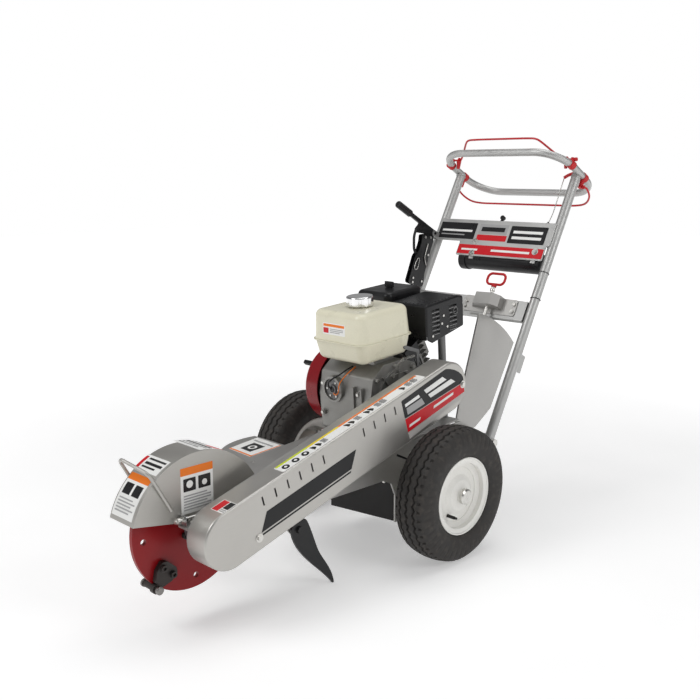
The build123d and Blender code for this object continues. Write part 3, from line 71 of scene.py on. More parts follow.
class Look:
    """A node material on a Principled shader, with object coordinates in metres."""

    def __init__(self, name, colour, metallic=0.0, roughness=0.5, coat=0.0, specular=0.5):
        self.material = bpy.data.materials.new(name)
        self.material.use_nodes = True
        self.nodes = self.material.node_tree.nodes
        self.links = self.material.node_tree.links
        self.shader = self.nodes["Principled BSDF"]
        self.shader.inputs["Metallic"].default_value = metallic
        self.shader.inputs["Roughness"].default_value = roughness
        self.shader.inputs["Coat Weight"].default_value = coat
        self.shader.inputs["Coat Roughness"].default_value = 0.12
        self.shader.inputs["Specular IOR Level"].default_value = specular
        self.shader.inputs["Base Color"].default_value = (*colour, 1.0)
        self.coords = self.nodes.new("ShaderNodeTexCoord").outputs["Object"]
        self.colour = None
        self.height = None
        self.base = colour

    def noise(self, scale, detail=4.0, stretch=(1, 1, 1), turn=0.0, rough=0.55):
        """A noise, with features about 1/scale metres across, stretched along an axis and turned about X."""
        mapping = self.nodes.new("ShaderNodeMapping")
        mapping.inputs["Rotation"].default_value = (math.radians(turn), 0, 0)
        mapping.inputs["Scale"].default_value = stretch
        self.links.new(self.coords, mapping.inputs["Vector"])
        node = self.nodes.new("ShaderNodeTexNoise")
        node.inputs["Scale"].default_value = scale
        node.inputs["Detail"].default_value = detail
        node.inputs["Roughness"].default_value = rough
        self.links.new(mapping.outputs["Vector"], node.inputs["Vector"])
        return node.outputs["Fac"]

    def ramp(self, value, low, high, start=0.35, end=0.65):
        """A value mapped to a colour or grey between two ends."""
        node = self.nodes.new("ShaderNodeValToRGB")
        node.color_ramp.elements[0].position = start
        node.color_ramp.elements[1].position = end
        node.color_ramp.elements[0].color = low
        node.color_ramp.elements[1].color = high
        self.links.new(value, node.inputs["Fac"])
        return node.outputs["Color"]

    def grey(self, value, low, high, start=0.35, end=0.65):
        return self.ramp(value, (low, low, low, 1), (high, high, high, 1), start, end)

    def mix(self, factor, first, second, kind="MIX"):
        node = self.nodes.new("ShaderNodeMix")
        node.data_type = "RGBA"
        node.blend_type = kind
        for value, socket in ((factor, node.inputs["Factor"]), (first, node.inputs["A"]),
                              (second, node.inputs["B"])):
            if isinstance(value, (float, int, tuple)):
                socket.default_value = value
            else:
                self.links.new(value, socket)
        return node.outputs["Result"]

    def vary(self, value, dark=0.9, light=1.1, start=0.35, end=0.65):
        """Lets a pattern move the colour a little."""
        patch = self.ramp(value, shade(self.base, dark), shade(self.base, light), start, end)
        self.colour = patch if self.colour is None else self.mix(0.5, self.colour, patch)
        return self

    def stain(self, value, colour, start, end, strength=0.6):
        """A second colour that shows where a pattern is high."""
        factor = self.grey(value, 0.0, strength, start, end)
        first = self.colour if self.colour is not None else (*self.base, 1.0)
        self.colour = self.mix(factor, first, (*colour, 1.0))
        return self

    def gloss(self, value, low, high, start=0.3, end=0.7):
        self.links.new(self.grey(value, low, high, start, end), self.shader.inputs["Roughness"])
        return self

    def bump(self, value, strength, distance):
        node = self.nodes.new("ShaderNodeBump")
        node.inputs["Strength"].default_value = strength
        node.inputs["Distance"].default_value = distance
        self.links.new(value, node.inputs["Height"])
        if self.height is not None:
            self.links.new(self.height, node.inputs["Normal"])
        self.height = node.outputs["Normal"]
        return self

    def edges(self, radius, wear=0.0, colour=(0.8, 0.8, 0.8)):
        """Softens sharp edges, and lets them show worn or bright."""
        bevel = self.nodes.new("ShaderNodeBevel")
        bevel.samples = 4
        bevel.inputs["Radius"].default_value = radius
        if wear > 0:
            geometry = self.nodes.new("ShaderNodeNewGeometry")
            dot = self.nodes.new("ShaderNodeVectorMath")
            dot.operation = "DOT_PRODUCT"
            self.links.new(bevel.outputs["Normal"], dot.inputs[0])
            self.links.new(geometry.outputs["True Normal"], dot.inputs[1])
            factor = self.grey(dot.outputs["Value"], wear, 0.0, 0.72, 0.97)
            first = self.colour if self.colour is not None else (*self.base, 1.0)
            self.colour = self.mix(factor, first, (*colour, 1.0))
        if self.height is None:
            self.height = bevel.outputs["Normal"]
        return self

    def done(self):
        if self.colour is not None:
            self.links.new(self.colour, self.shader.inputs["Base Color"])
        if self.height is not None:
            self.links.new(self.height, self.shader.inputs["Normal"])
        return self.material


def brushed(name, colour, roughness, stretch, turn=0.0, spread=0.07, edge=0.0007):
    """Bright sheet steel with fine parallel brush lines and faint clouding."""
    look = Look(name, colour, metallic=0.82, roughness=roughness)
    look.edges(edge, 0.35, shade(colour, 1.35)[:3])
    lines = look.noise(900, 3, stretch, turn)
    clouds = look.noise(9, 4)
    look.vary(lines, 1 - spread, 1 + spread, 0.3, 0.7)
    look.vary(clouds, 0.93, 1.06)
    look.gloss(clouds, roughness - 0.05, roughness + 0.09)
    look.bump(lines, 0.16, 0.0002)
    return look.done()


def painted(name, colour, roughness=0.3, coat=0.5, peel=0.05, chips=0.25, chip_colour=(0.25, 0.24, 0.23)):
    """Sprayed or powder paint with orange peel, light soiling and rubbed edges."""
    look = Look(name, colour, roughness=roughness, coat=coat, specular=0.25)
    look.edges(0.0008, chips, chip_colour)
    clouds = look.noise(14, 5)
    look.vary(clouds, 0.93, 1.05)
    look.vary(look.noise(220, 3), 0.96, 1.03)
    look.gloss(clouds, roughness - 0.06, roughness + 0.1)
    look.bump(look.noise(520, 2), peel, 0.0006)
    return look.done()


def cast(name, colour, metallic=0.6, roughness=0.5, grain=900, depth=0.25, edge=0.001):
    """Cast metal with a sandy skin, darker in places."""
    look = Look(name, colour, metallic=metallic, roughness=roughness)
    look.edges(edge, 0.3, shade(colour, 1.4)[:3])
    sand = look.noise(grain, 5)
    clouds = look.noise(24, 5)
    look.vary(clouds, 0.8, 1.12)
    look.vary(sand, 0.9, 1.08)
    look.gloss(clouds, roughness - 0.08, roughness + 0.12)
    look.bump(sand, depth, 0.0005)
    return look.done()


def moulded(name, colour, roughness=0.45, grain=1600, depth=0.12, spread=0.15):
    """Moulded plastic or rubber with a fine texture."""
    look = Look(name, colour, roughness=roughness, specular=0.3)
    look.edges(0.0008, 0.2, shade(colour, 2.2)[:3])
    fine = look.noise(grain, 3)
    clouds = look.noise(30, 4)
    look.vary(clouds, 1 - spread, 1 + spread)
    look.gloss(clouds, roughness - 0.06, roughness + 0.1)
    look.bump(fine, depth, 0.0003)
    return look.done()


def plated(name, colour, roughness=0.22):
    """Bright plated or polished metal with faint handling marks."""
    look = Look(name, colour, metallic=1.0, roughness=roughness)
    look.edges(0.0005)
    clouds = look.noise(60, 4)
    look.vary(clouds, 0.9, 1.05)
    look.gloss(clouds, roughness - 0.07, roughness + 0.1)
    look.bump(look.noise(1500, 3), 0.05, 0.0002)
    return look.done()


def tyre_rubber(name):
    """Tyre rubber: warm grey-black with patches of dry dust."""
    colour = (0.026, 0.0235, 0.0215)
    look = Look(name, colour, roughness=0.72)
    clouds = look.noise(18, 6)
    look.vary(clouds, 0.75, 1.3)
    look.stain(look.noise(55, 6), (0.085, 0.072, 0.06), 0.5, 0.75, 0.45)
    look.gloss(clouds, 0.6, 0.85)
    look.bump(look.noise(1100, 4), 0.2, 0.0004)
    return look.done()


def print_ink(name, colour, roughness=0.32):
    """Printed vinyl: even colour with a slight gloss change and fine film texture."""
    look = Look(name, colour, roughness=roughness, coat=0.08, specular=0.25)
    fine = look.noise(700, 3)
    look.vary(fine, 0.97, 1.03)
    look.gloss(look.noise(25, 3), roughness - 0.05, roughness + 0.08)
    look.bump(fine, 0.03, 0.0002)
    return look.done()


SILVER = (0.5, 0.487, 0.46)
MATERIALS = {
    "sheet_boom": brushed("sheet_boom", SILVER, 0.36, (1, 0.03, 1), -16.2),
    "sheet_drum": brushed("sheet_drum", (0.47, 0.457, 0.43), 0.42, (1, 0.05, 0.4)),
    "sheet_frame": brushed("sheet_frame", (0.46, 0.452, 0.436), 0.42, (0.6, 0.05, 0.6)),
    "tube": brushed("tube", (0.48, 0.48, 0.47), 0.46, (1, 1, 0.05), 28.65, 0.03),
    "panel": brushed("panel", (0.5, 0.5, 0.49), 0.38, (0.04, 1, 1)),
    "machined": plated("machined", (0.5, 0.5, 0.5), 0.32),
    "zinc": plated("zinc", (0.66, 0.65, 0.62), 0.28),
    "chrome": plated("chrome", (0.8, 0.8, 0.8), 0.12),
    "alloy": cast("alloy", (0.3, 0.295, 0.28), 0.7, 0.42, 1100, 0.3),
    "alloy_dark": cast("alloy_dark", (0.2, 0.2, 0.2), 0.55, 0.5, 900, 0.3),
    "iron": cast("iron", (0.13, 0.13, 0.135), 0.6, 0.55, 600, 0.4),
    "scale": cast("scale", (0.05, 0.043, 0.04), 0.5, 0.5, 500, 0.5),
    "carbide": plated("carbide", (0.26, 0.25, 0.24), 0.4),
    "red": painted("red", (0.27, 0.004, 0.007), 0.34, 0.12),
    "red_wire": painted("red_wire", (0.5, 0.01, 0.016), 0.3, 0.5),
    "red_engine": painted("red_engine", (0.24, 0.003, 0.008), 0.28, 0.25),
    "cream": painted("cream", (0.76, 0.73, 0.57), 0.3, 0.45, 0.03, 0.05, (0.7, 0.68, 0.6)),
    "white": painted("white", (0.84, 0.83, 0.79), 0.32, 0.35, 0.06, 0.12, (0.55, 0.54, 0.52)),
    "black": painted("black", (0.012, 0.012, 0.013), 0.32, 0.12, 0.06, 0.25, (0.1, 0.1, 0.1)),
    "charcoal": painted("charcoal", (0.009, 0.009, 0.01), 0.28, 0.12, 0.1, 0.3, (0.1, 0.1, 0.1)),
    "plastic": moulded("plastic", (0.01, 0.01, 0.011), 0.32),
    "red_plastic": moulded("red_plastic", (0.5, 0.012, 0.016), 0.34, 1200, 0.06, 0.06),
    "rubber": moulded("rubber", (0.02, 0.019, 0.019), 0.62, 900, 0.2, 0.2),
    "tyre": tyre_rubber("tyre"),
    "ink_black": print_ink("ink_black", (0.012, 0.012, 0.013)),
    "ink_white": print_ink("ink_white", (0.86, 0.86, 0.84)),
    "ink_red": print_ink("ink_red", (0.6, 0.012, 0.02)),
    "ink_orange": print_ink("ink_orange", (0.85, 0.2, 0.015)),
    "ink_yellow": print_ink("ink_yellow", (0.85, 0.66, 0.03)),
    "ink_lime": print_ink("ink_lime", (0.62, 0.72, 0.04)),
    "ink_silver": print_ink("ink_silver", (0.5, 0.48, 0.46), 0.4),
    "ink_grey": print_ink("ink_grey", (0.38, 0.38, 0.38)),
    "weld": plated("weld", (0.42, 0.41, 0.4), 0.42),
}

NODE_LOOKS = {
    "sheet_boom": ["belt_guard"],
    "sheet_drum": ["drum_guard"],
    "sheet_frame": ["main_frame", "pin_bracket"],
    "tube": ["handle_frame"],
    "panel": ["control_panel"],
    "machined": ["axle", "cutter_bearings", "brake_band", "cutter_shaft", "crankshaft"],
    "zinc": ["axle_caps", "frame_bolts", "engine_bolts", "pivot_bolts", "handle_bolts", "lock_pin",
             "throttle_lever", "choke_lever"],
    "chrome": ["tank_cap"],
    "alloy": ["crankcase", "side_cover", "cylinder_head", "valve_cover"],
    "alloy_dark": ["cylinder", "carburettor", "muffler"],
    "iron": ["bearing_housing", "cutter_sheave", "engine_sheave"],
    "scale": ["tooth_holders", "tooth_bars", "cutter_screws"],
    "carbide": ["carbide_tips"],
    "red": ["cutter_disc"],
    "red_wire": ["upper_bail", "lower_bail"],
    "red_engine": ["fan_cover", "recoil_cover"],
    "cream": ["fuel_tank"],
    "white": ["rim_near", "rim_far"],
    "black": ["stand", "brake_lever"],
    "charcoal": ["muffler_guard", "cylinder_cowl"],
    "plastic": ["air_cleaner_base", "air_cleaner_lid", "air_cleaner_knob", "manual_canister",
                "canister_cap", "stop_toggle", "recoil_grip"],
    "red_plastic": ["bail_clamps", "lock_ring"],
    "rubber": ["drive_belts", "rubber_flap", "handle_cables"],
    "tyre": ["tyre_near", "tyre_far"],
}
for look, names in NODE_LOOKS.items():
    for node in names:
        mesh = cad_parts[node].data
        mesh.materials.clear()
        mesh.materials.append(MATERIALS[look])


# ---- places on the machine ----------------------------------------------------------

class Side:
    """A side view through a point behind and above the axle's foot, in mm, turned by a tilt."""

    def __init__(self, y, z, tilt):
        turn = math.radians(tilt)
        self.origin = Vector((0, y + AXLE_Y, z))
        self.back = Vector((0, math.cos(turn), math.sin(turn)))
        self.up = Vector((0, -math.sin(turn), math.cos(turn)))

    def at(self, x, back, up):
        return (self.origin + Vector((x, 0, 0)) + self.back * back + self.up * up) * MM


SIDE = Side(0, 0, 0)
BOOM = Side(-776, 257, 16.2)
ENGINE = Side(-30, 477, 4.5)
HANDLE = Side(276.5, 290, -28.65)
ACROSS = Vector((1, 0, 0))


class Surface:
    """A flat surface with its own two directions, in mm, and the direction that it faces."""

    def __init__(self, origin, right, up):
        self.origin, self.right, self.up = origin, right.normalized(), up.normalized()
        self.out = self.right.cross(self.up).normalized()

    def at(self, point, lift):
        return self.origin + (self.right * point[0] + self.up * point[1] + self.out * lift) * MM


def outer_face(side, x):
    """A side view's face at x, looked at from +X: right runs back, up runs up."""
    return Surface(side.at(x, 0, 0), side.back, side.up)


def front_face(side, back):
    """A face that looks forwards: right runs along X, up runs up."""
    return Surface(side.at(0, back, 0), ACROSS, side.up)


def top_face(side, up):
    """A face that looks up: right runs along X, up runs back."""
    return Surface(side.at(0, 0, up), ACROSS, side.back)


# ---- building pieces ----------------------------------------------------------------

def piece(name, mesh, materials, body, smooth=False):
    """Puts a mesh in the scene as a piece that rides on a body, or on none yet."""
    for key in materials:
        mesh.materials.append(MATERIALS[key])
    if smooth:
        for face in mesh.polygons:
            face.use_smooth = True
    obj = bpy.data.objects.new(name, mesh)
    bpy.context.collection.objects.link(obj)
    if body:
        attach(obj, body)
    return obj


def rounded(points, radius, steps=4):
    """A polygon with its corners rounded."""
    made = []
    count = len(points)
    for i, corner in enumerate(points):
        here = Vector(corner)
        before = Vector(points[i - 1]) - here
        after = Vector(points[(i + 1) % count]) - here
        reach = min(radius, before.length * 0.45, after.length * 0.45)
        start, end = here + before.normalized() * reach, here + after.normalized() * reach
        for step in range(steps + 1):
            t = step / steps
            made.append(tuple(start * (1 - t) ** 2 + here * (2 * t * (1 - t)) + end * t * t))
    return made


def box_points(x0, y0, x1, y1, radius=0.0):
    corners = [(x0, y0), (x1, y0), (x1, y1), (x0, y1)]
    return rounded(corners, radius) if radius else corners


def disc_points(x, y, radius, steps=20):
    return [(x + radius * math.cos(2 * math.pi * i / steps), y + radius * math.sin(2 * math.pi * i / steps))
            for i in range(steps)]


LAYER = 0.14                      # from one printed shape to the next


def layered(name, place, layers, body, thick=LABEL_THICK):
    """Flat shapes printed one on another. place turns a point and a lift into a position."""
    mesh = bmesh.new()
    keys = []
    for number, (key, points) in enumerate(layers):
        if key not in keys:
            keys.append(key)
        level = thick + LAYER * number
        top = [mesh.verts.new(place(p, level)) for p in points]
        foot = [mesh.verts.new(place(p, CLEAR_SKIN)) for p in points]
        faces = [mesh.faces.new(top)]
        count = len(points)
        for i in range(count):
            j = (i + 1) % count
            faces.append(mesh.faces.new((foot[i], foot[j], top[j], top[i])))
        for face in faces:
            face.material_index = keys.index(key)
    bmesh.ops.recalc_face_normals(mesh, faces=mesh.faces)
    data = bpy.data.meshes.new(name)
    mesh.to_mesh(data)
    mesh.free()
    return piece(name, data, keys, body)


def label(name, surface, layers, body):
    return layered(name, surface.at, layers, body)


def round_curve(name, radius):
    """An empty curve with a round section."""
    curve = bpy.data.curves.new(name, "CURVE")
    curve.dimensions = "3D"
    curve.bevel_depth = radius * MM
    return curve


def curve_mesh(name, curve):
    """The mesh of a curve."""
    temporary = bpy.data.objects.new(name + "_curve", curve)
    mesh = bpy.data.meshes.new_from_object(temporary)
    bpy.data.objects.remove(temporary)
    mesh.name = name
    return mesh


def tube(name, points, radius, key, body, closed=False, order=3, sides=8):
    """A round wire, rod or bead through points, as a mesh."""
    curve = round_curve(name, radius)
    curve.bevel_resolution = max(2, sides // 2 - 1)
    curve.use_fill_caps = not closed
    spline = curve.splines.new("NURBS" if order > 2 else "POLY")
    spline.points.add(len(points) - 1)
    for target, point in zip(spline.points, points):
        target.co = (*point, 1)
    if order > 2:
        spline.order_u = order
        spline.use_endpoint_u = not closed
    spline.use_cyclic_u = closed
    return piece(name, curve_mesh(name, curve), [key], body, smooth=True)


# ---- labels, all with plain shapes in place of words and marks ------------------------

def bilinear(corners, u, v):
    """A point inside four corners, u from front to rear and v from top to bottom."""
    (ax, ay), (bx, by), (cx, cy), (dx, dy) = corners
    top = (ax + (bx - ax) * u, ay + (by - ay) * u)
    low = (dx + (cx - dx) * u, dy + (cy - dy) * u)
    return top[0] + (low[0] - top[0]) * v, top[1] + (low[1] - top[1]) * v


def quad(corners, u0, v0, u1, v1):
    """A patch inside four corners."""
    return [bilinear(corners, *q) for q in ((u0, v1), (u1, v1), (u1, v0), (u0, v0))]


guard_face = outer_face(SIDE, GUARD_X)
REAR_BLACK = [(-133, 445), (138, 512), (137, 526), (128, 537), (112, 548), (92, 557), (70, 563), (50, 566),
              (-151, 501)]
REAR_RED = [(-119, 402), (144, 480), (138, 510), (-132, 443)]
REAR_SILVER = [(-111, 380), (144, 466), (144, 478), (-118.5, 400)]
REAR_LINES = [(-140, 492), (48, 553), (118, 516), (-128, 452)]
label("guard_rear_label", guard_face, [
    ("ink_black", rounded(REAR_BLACK, 5)),
    ("ink_red", REAR_RED),
    ("ink_silver", REAR_SILVER),
    ("ink_white", quad(REAR_LINES, 0.02, 0.12, 0.33, 0.34)),
    ("ink_grey", quad(REAR_LINES, 0.03, 0.46, 0.34, 0.96)),
    ("ink_white", quad(REAR_LINES, 0.46, 0.08, 0.9, 0.38)),
    ("ink_white", quad(REAR_LINES, 0.47, 0.52, 0.96, 0.82)),
    ("ink_white", [(-112, 424), (-64, 438), (-67, 430), (-115, 416)]),
    ("ink_white", [(-4, 461), (88, 488), (87, 480), (-5, 453)]),
], "frame")

stripe = outer_face(BOOM, GUARD_X)
label("guard_stripe", stripe, [
    ("ink_black", [(92, -34), (430, -34), (462, 12), (124, 12)]),
    ("ink_black", [(86, -43), (424, -43), (427.5, -38), (89.5, -38)]),
], "frame")
label("guard_slot", guard_face, [
    ("ink_black", [(-168, 340), (-120, 317), (-118, 322), (-166, 346)]),
], "frame")

guard_top = top_face(BOOM, 78)
STRIP = [("ink_white", box_points(203, 210, 243, 795, 6))]
for key, start, end in (("ink_orange", 452, 790), ("ink_yellow", 330, 452), ("ink_lime", 214, 330)):
    STRIP.append((key, box_points(203.5, start, 211, end, 2)))
for i in range(3):
    STRIP.append(("ink_black", disc_points(228, 232 + 36 * i, 11)))
    STRIP.append(("ink_white", disc_points(228, 232 + 36 * i, 4.5)))
for along in (330, 350, 464, 482, 545, 562, 700):
    STRIP.append(("ink_black", [(217, along), (237, along + 3), (231, along + 13), (222, along + 9)]))
for along in (370, 505, 590, 612, 726, 750):
    for i in range(3):
        STRIP.append(("ink_grey", box_points(217 + 7 * i, along, 220 + 7 * i, along + 16)))
label("guard_top_label", guard_top, STRIP, "frame")
label("guard_front_label", guard_top, [
    ("ink_white", box_points(197, 1, 247, 48, 3)), ("ink_red", box_points(199, 3, 222, 46, 2)),
    ("ink_black", box_points(225, 18, 245, 46, 2)), ("ink_grey", box_points(225, 5, 245, 9)),
    ("ink_grey", box_points(225, 11, 245, 15)),
], "frame")

PICTOGRAM = [("ink_orange", 0.0, 0.0, 1.0, 0.17), ("ink_black", 0.08, 0.24, 0.46, 0.52),
             ("ink_black", 0.54, 0.24, 0.92, 0.52)]


def warning_label(x0, y0, x1, y1):
    """A white label with a coloured header, two dark blocks and rows of bars."""
    wide, high = x1 - x0, y1 - y0
    layers = [("ink_white", box_points(x0, y0, x1, y1, 3))]
    for key, u0, v0, u1, v1 in PICTOGRAM:
        layers.append((key, box_points(x0 + wide * u0, y1 - high * v1, x0 + wide * u1, y1 - high * v0, 2)))
    layers.append(("ink_white", disc_points(x0 + wide * 0.27, y1 - high * 0.37, wide * 0.1)))
    layers.append(("ink_white", disc_points(x0 + wide * 0.73, y1 - high * 0.4, wide * 0.08)))
    for i in range(6):
        level = y1 - high * (0.6 + 0.06 * i)
        end = x0 + wide * (0.92 if i % 3 else 0.8)
        layers.append(("ink_grey", box_points(x0 + wide * 0.08, level - high * 0.025, end, level)))
    return layers


drum_side = outer_face(SIDE, DRUM_X1)
label("drum_side_label", drum_side, warning_label(-836, 307, -737, 428), "frame")


def on_drum(point, lift):
    """A point on the drum's round face: x across, and the way along the surface from the top, in mm."""
    turn = math.radians(90) + point[1] / DRUM_R
    reach = DRUM_R + lift
    return SIDE.at(point[0], DRUM_Y + reach * math.cos(turn), DRUM_Z + reach * math.sin(turn))


STRIP_WIDE = 6


def curved(name, layers, body):
    """Layers that follow the drum, cut into narrow strips along the curve."""
    keys, mesh = [], bmesh.new()
    for number, (key, points) in enumerate(layers):
        if key not in keys:
            keys.append(key)
        xs, ss = [p[0] for p in points], [p[1] for p in points]
        x0, x1, s0, s1 = min(xs), max(xs), min(ss), max(ss)
        count = max(1, int((s1 - s0) / STRIP_WIDE))
        level = LABEL_THICK + LAYER * number
        rows = []
        for i in range(count + 1):
            s = s0 + (s1 - s0) * i / count
            rows.append([mesh.verts.new(on_drum((x, s), lift))
                         for lift in (level, CLEAR_SKIN) for x in (x0, x1)])
        for a, b in zip(rows, rows[1:]):
            for corners in ((a[0], a[1], b[1], b[0]), (a[0], b[0], b[2], a[2]), (a[1], a[3], b[3], b[1])):
                mesh.faces.new(corners).material_index = keys.index(key)
        for end in (rows[0], rows[-1]):
            mesh.faces.new((end[0], end[1], end[3], end[2])).material_index = keys.index(key)
    bmesh.ops.recalc_face_normals(mesh, faces=mesh.faces)
    data = bpy.data.meshes.new(name)
    mesh.to_mesh(data)
    mesh.free()
    return piece(name, data, keys, body)


def drum_label(x0, x1, s0, s1):
    """A label on the round face, with its header uppermost."""
    wide, long = x1 - x0, s1 - s0
    layers = [("ink_white", box_points(x0, s0, x1, s1)),
              ("ink_orange", box_points(x0, s0, x1, s0 + long * 0.17)),
              ("ink_black", box_points(x0 + wide * 0.1, s0 + long * 0.24, x0 + wide * 0.46, s0 + long * 0.5)),
              ("ink_black", box_points(x0 + wide * 0.56, s0 + long * 0.24, x0 + wide * 0.9, s0 + long * 0.5))]
    for i in range(5):
        start = s0 + long * (0.58 + 0.07 * i)
        layers.append(("ink_grey", box_points(x0 + wide * 0.1, start, x0 + wide * (0.9 if i % 2 else 0.75),
                                              start + long * 0.03)))
    return layers


curved("drum_front_label", drum_label(29, 119, 141, 255), "frame")
curved("drum_small_label", [
    ("ink_white", box_points(22, 78, 119, 130)), ("ink_red", box_points(22, 84, 34, 124)),
    ("ink_black", box_points(42, 86, 112, 92)), ("ink_black", box_points(42, 100, 112, 108)),
    ("ink_black", box_points(42, 114, 96, 119)),
], "frame")

curved("drum_top_label", [
    ("ink_white", box_points(6, -97, 124, -8)), ("ink_grey", box_points(14, -90, 66, -84)),
    ("ink_grey", box_points(14, -78, 60, -74)), ("ink_grey", box_points(14, -68, 64, -64)),
    ("ink_red", box_points(74, -90, 116, -62)), ("ink_black", box_points(14, -52, 116, -44)),
    ("ink_grey", box_points(14, -36, 116, -32)), ("ink_grey", box_points(14, -24, 96, -20)),
], "frame")

deck_top = top_face(ENGINE, -132)
label("deck_label", deck_top, [
    ("ink_white", [(-223, -396), (-112, -402), (-108, -280), (-229, -277)]),
    ("ink_orange", [(-223, -394), (-112, -400), (-112, -393), (-223, -387)]),
    ("ink_orange", [(-118, -394), (-113, -394), (-110, -282), (-115, -282)]),
    ("ink_black", [(-196, -372), (-146, -375), (-142, -318), (-198, -315)]),
    ("ink_white", disc_points(-170, -345, 15)), ("ink_black", disc_points(-170, -345, 8)),
    ("ink_grey", [(-215, -303), (-124, -306), (-124, -299), (-215, -296)]),
], "frame")

TANK_TAPER = math.radians(4)
tank_up = ENGINE.up * math.cos(TANK_TAPER) + ENGINE.back * math.sin(TANK_TAPER)
tank_face = Surface(ENGINE.at(0, -142.5, 182), ACROSS, tank_up)
label("tank_label", tank_face, [
    ("ink_white", box_points(-39, 22, 56, 57, 3)), ("ink_orange", box_points(-36, 46, 53, 54, 1)),
    ("ink_red", box_points(-36, 26, -14, 42, 1)), ("ink_grey", box_points(-8, 38, 48, 40)),
    ("ink_grey", box_points(-8, 33, 48, 35)), ("ink_grey", box_points(-8, 28, 34, 30)),
], "frame")

panel_face = front_face(HANDLE, -20)
label("panel_labels", panel_face, [
    ("ink_black", box_points(-241, 698, -75, 762, 3)),
    ("ink_black", box_points(74, 692, 224, 758, 3)),
    ("ink_grey", box_points(-62, 722, 62, 760, 2)),
    ("ink_red", box_points(-62, 696, 66, 718, 2)),
    ("ink_red", box_points(-127, 641, 233, 677, 3)),
    ("ink_white", box_points(-226, 726, -90, 734)),
    ("ink_grey", box_points(-226, 712, -120, 716)),
    ("ink_white", box_points(88, 730, 208, 740)),
    ("ink_white", box_points(88, 708, 208, 718)),
    ("ink_white", box_points(-110, 655, -40, 662)),
    ("ink_white", box_points(20, 655, 180, 663)),
    ("ink_black", box_points(-50, 732, 50, 748)),
], "handle")


# ---- tyres ----------------------------------------------------------------------------

SIDEWALL = [(42.4, 104), (45.2, 117.9), (47, 119), (52, 120.5), (56.6, 128), (58, 136), (59.6, 146),
            (60.2, 155), (59.6, 166), (58, 176), (54.6, 186), (50.6, 192.6), (47, 196)]
TREAD = [44 - 1.6 * i for i in range(56)]
TYRE_STEPS = 384
GROOVES, GROOVE_HALF, GROOVE_DEPTH = (-25, 0, 25), 2.5, 6.5
SHOULDER_OUT, SLOT_DEPTH = 36, 4.5
ZIGZAG_STEPS, ZIGZAG_REACH = 8, 3.2
VALVE_Y, VALVE_Z = -46, TYRE_R - 55


def crown(out):
    """The tread's radius at an offset from the wheel's middle."""
    return TYRE_R - 0.0032 * out * out


def tyre_mesh(name, sign):
    """A tyre with four ribs between zigzag grooves, shoulder slots and ringed side walls."""
    section = [(out, radius, False) for out, radius in SIDEWALL]
    section += [(out, crown(out), True) for out in TREAD]
    section += [(-out, radius, False) for out, radius in reversed(SIDEWALL)]
    inside = [(-34, 104), (-39, 124), (-51, 155), (-42, 184), (0, 193), (42, 184), (51, 155), (39, 124),
              (34, 104)]
    section += [(out, radius, False) for out, radius in inside]
    verts, faces = [], []
    for i in range(TYRE_STEPS):
        angle = 2 * math.pi * i / TYRE_STEPS
        wave = (i % ZIGZAG_STEPS) / ZIGZAG_STEPS
        zigzag = ZIGZAG_REACH * (4 * abs(wave - 0.5) - 1)
        slotted = i % ZIGZAG_STEPS < 2
        for out, radius, tread in section:
            if tread:
                for middle in GROOVES:
                    if abs(out - middle - zigzag) < GROOVE_HALF:
                        radius -= GROOVE_DEPTH
                if abs(out) > SHOULDER_OUT and slotted:
                    radius -= SLOT_DEPTH
            elif 160 < radius < 190 and abs(out) > 52 and slotted:
                out -= math.copysign(1.2, out)
            height = TYRE_R * MM + radius * MM * math.sin(angle)
            back = AXLE_Y * MM + radius * MM * math.cos(angle)
            verts.append(((TRACK / 2 * sign + out) * MM, back, height))
    count = len(section)
    for i in range(TYRE_STEPS):
        j = (i + 1) % TYRE_STEPS
        for k in range(count):
            m = (k + 1) % count
            faces.append((i * count + k, i * count + m, j * count + m, j * count + k))
    mesh = bpy.data.meshes.new(name)
    mesh.from_pydata(verts, [], faces)
    work = bmesh.new()
    work.from_mesh(mesh)
    bmesh.ops.recalc_face_normals(work, faces=work.faces)
    work.to_mesh(mesh)
    work.free()
    mesh.set_sharp_from_angle(angle=math.radians(32))
    for face in mesh.polygons:
        face.use_smooth = True
    return mesh


for side_name, sign in (("near", 1), ("far", -1)):
    body = f"wheel_{side_name}"
    tyre = piece(f"tyre_detail_{side_name}", tyre_mesh(f"tyre_detail_{side_name}", sign), ["tyre"], body)
    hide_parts(f"tyre_{side_name}")
    stem_x = sign * (TRACK / 2 + 26)
    start, end, tip = [SIDE.at(stem_x + sign * out, VALVE_Y, VALVE_Z) for out in (0, 26, 34)]
    tube(f"valve_{side_name}", [start, end], 5, "rubber", body, order=2, sides=12)
    tube(f"valve_cap_{side_name}", [end, tip], 3.6, "plastic", body, order=2, sides=12)


# ---- small parts that the CAD leaves plain ----------------------------------------------

RIPPLE = 2.2                      # from one ripple of a weld to the next


def bead(name, points, radius, body):
    """A weld bead along points, with its ripples."""
    run = []
    for a, b in zip(points, points[1:]):
        a, b = Vector(a), Vector(b)
        count = max(2, int((b - a).length / (RIPPLE * MM)))
        run += [a.lerp(b, i / count) for i in range(count)]
    run.append(Vector(points[-1]))
    curve = round_curve(name, radius)
    curve.bevel_resolution = 2
    spline = curve.splines.new("POLY")
    spline.points.add(len(run) - 1)
    for i, (target, point) in enumerate(zip(spline.points, run)):
        target.co = (*point, 1)
        target.radius = 0.85 + 0.25 * (i % 2)
    return piece(name, curve_mesh(name, curve), ["weld"], body, smooth=True)


def around(radius, count):
    """Points round a circle, as two distances from its middle, ending where they start."""
    turns = [2 * math.pi * i / count for i in range(count + 1)]
    return [(radius * math.cos(turn), radius * math.sin(turn)) for turn in turns]


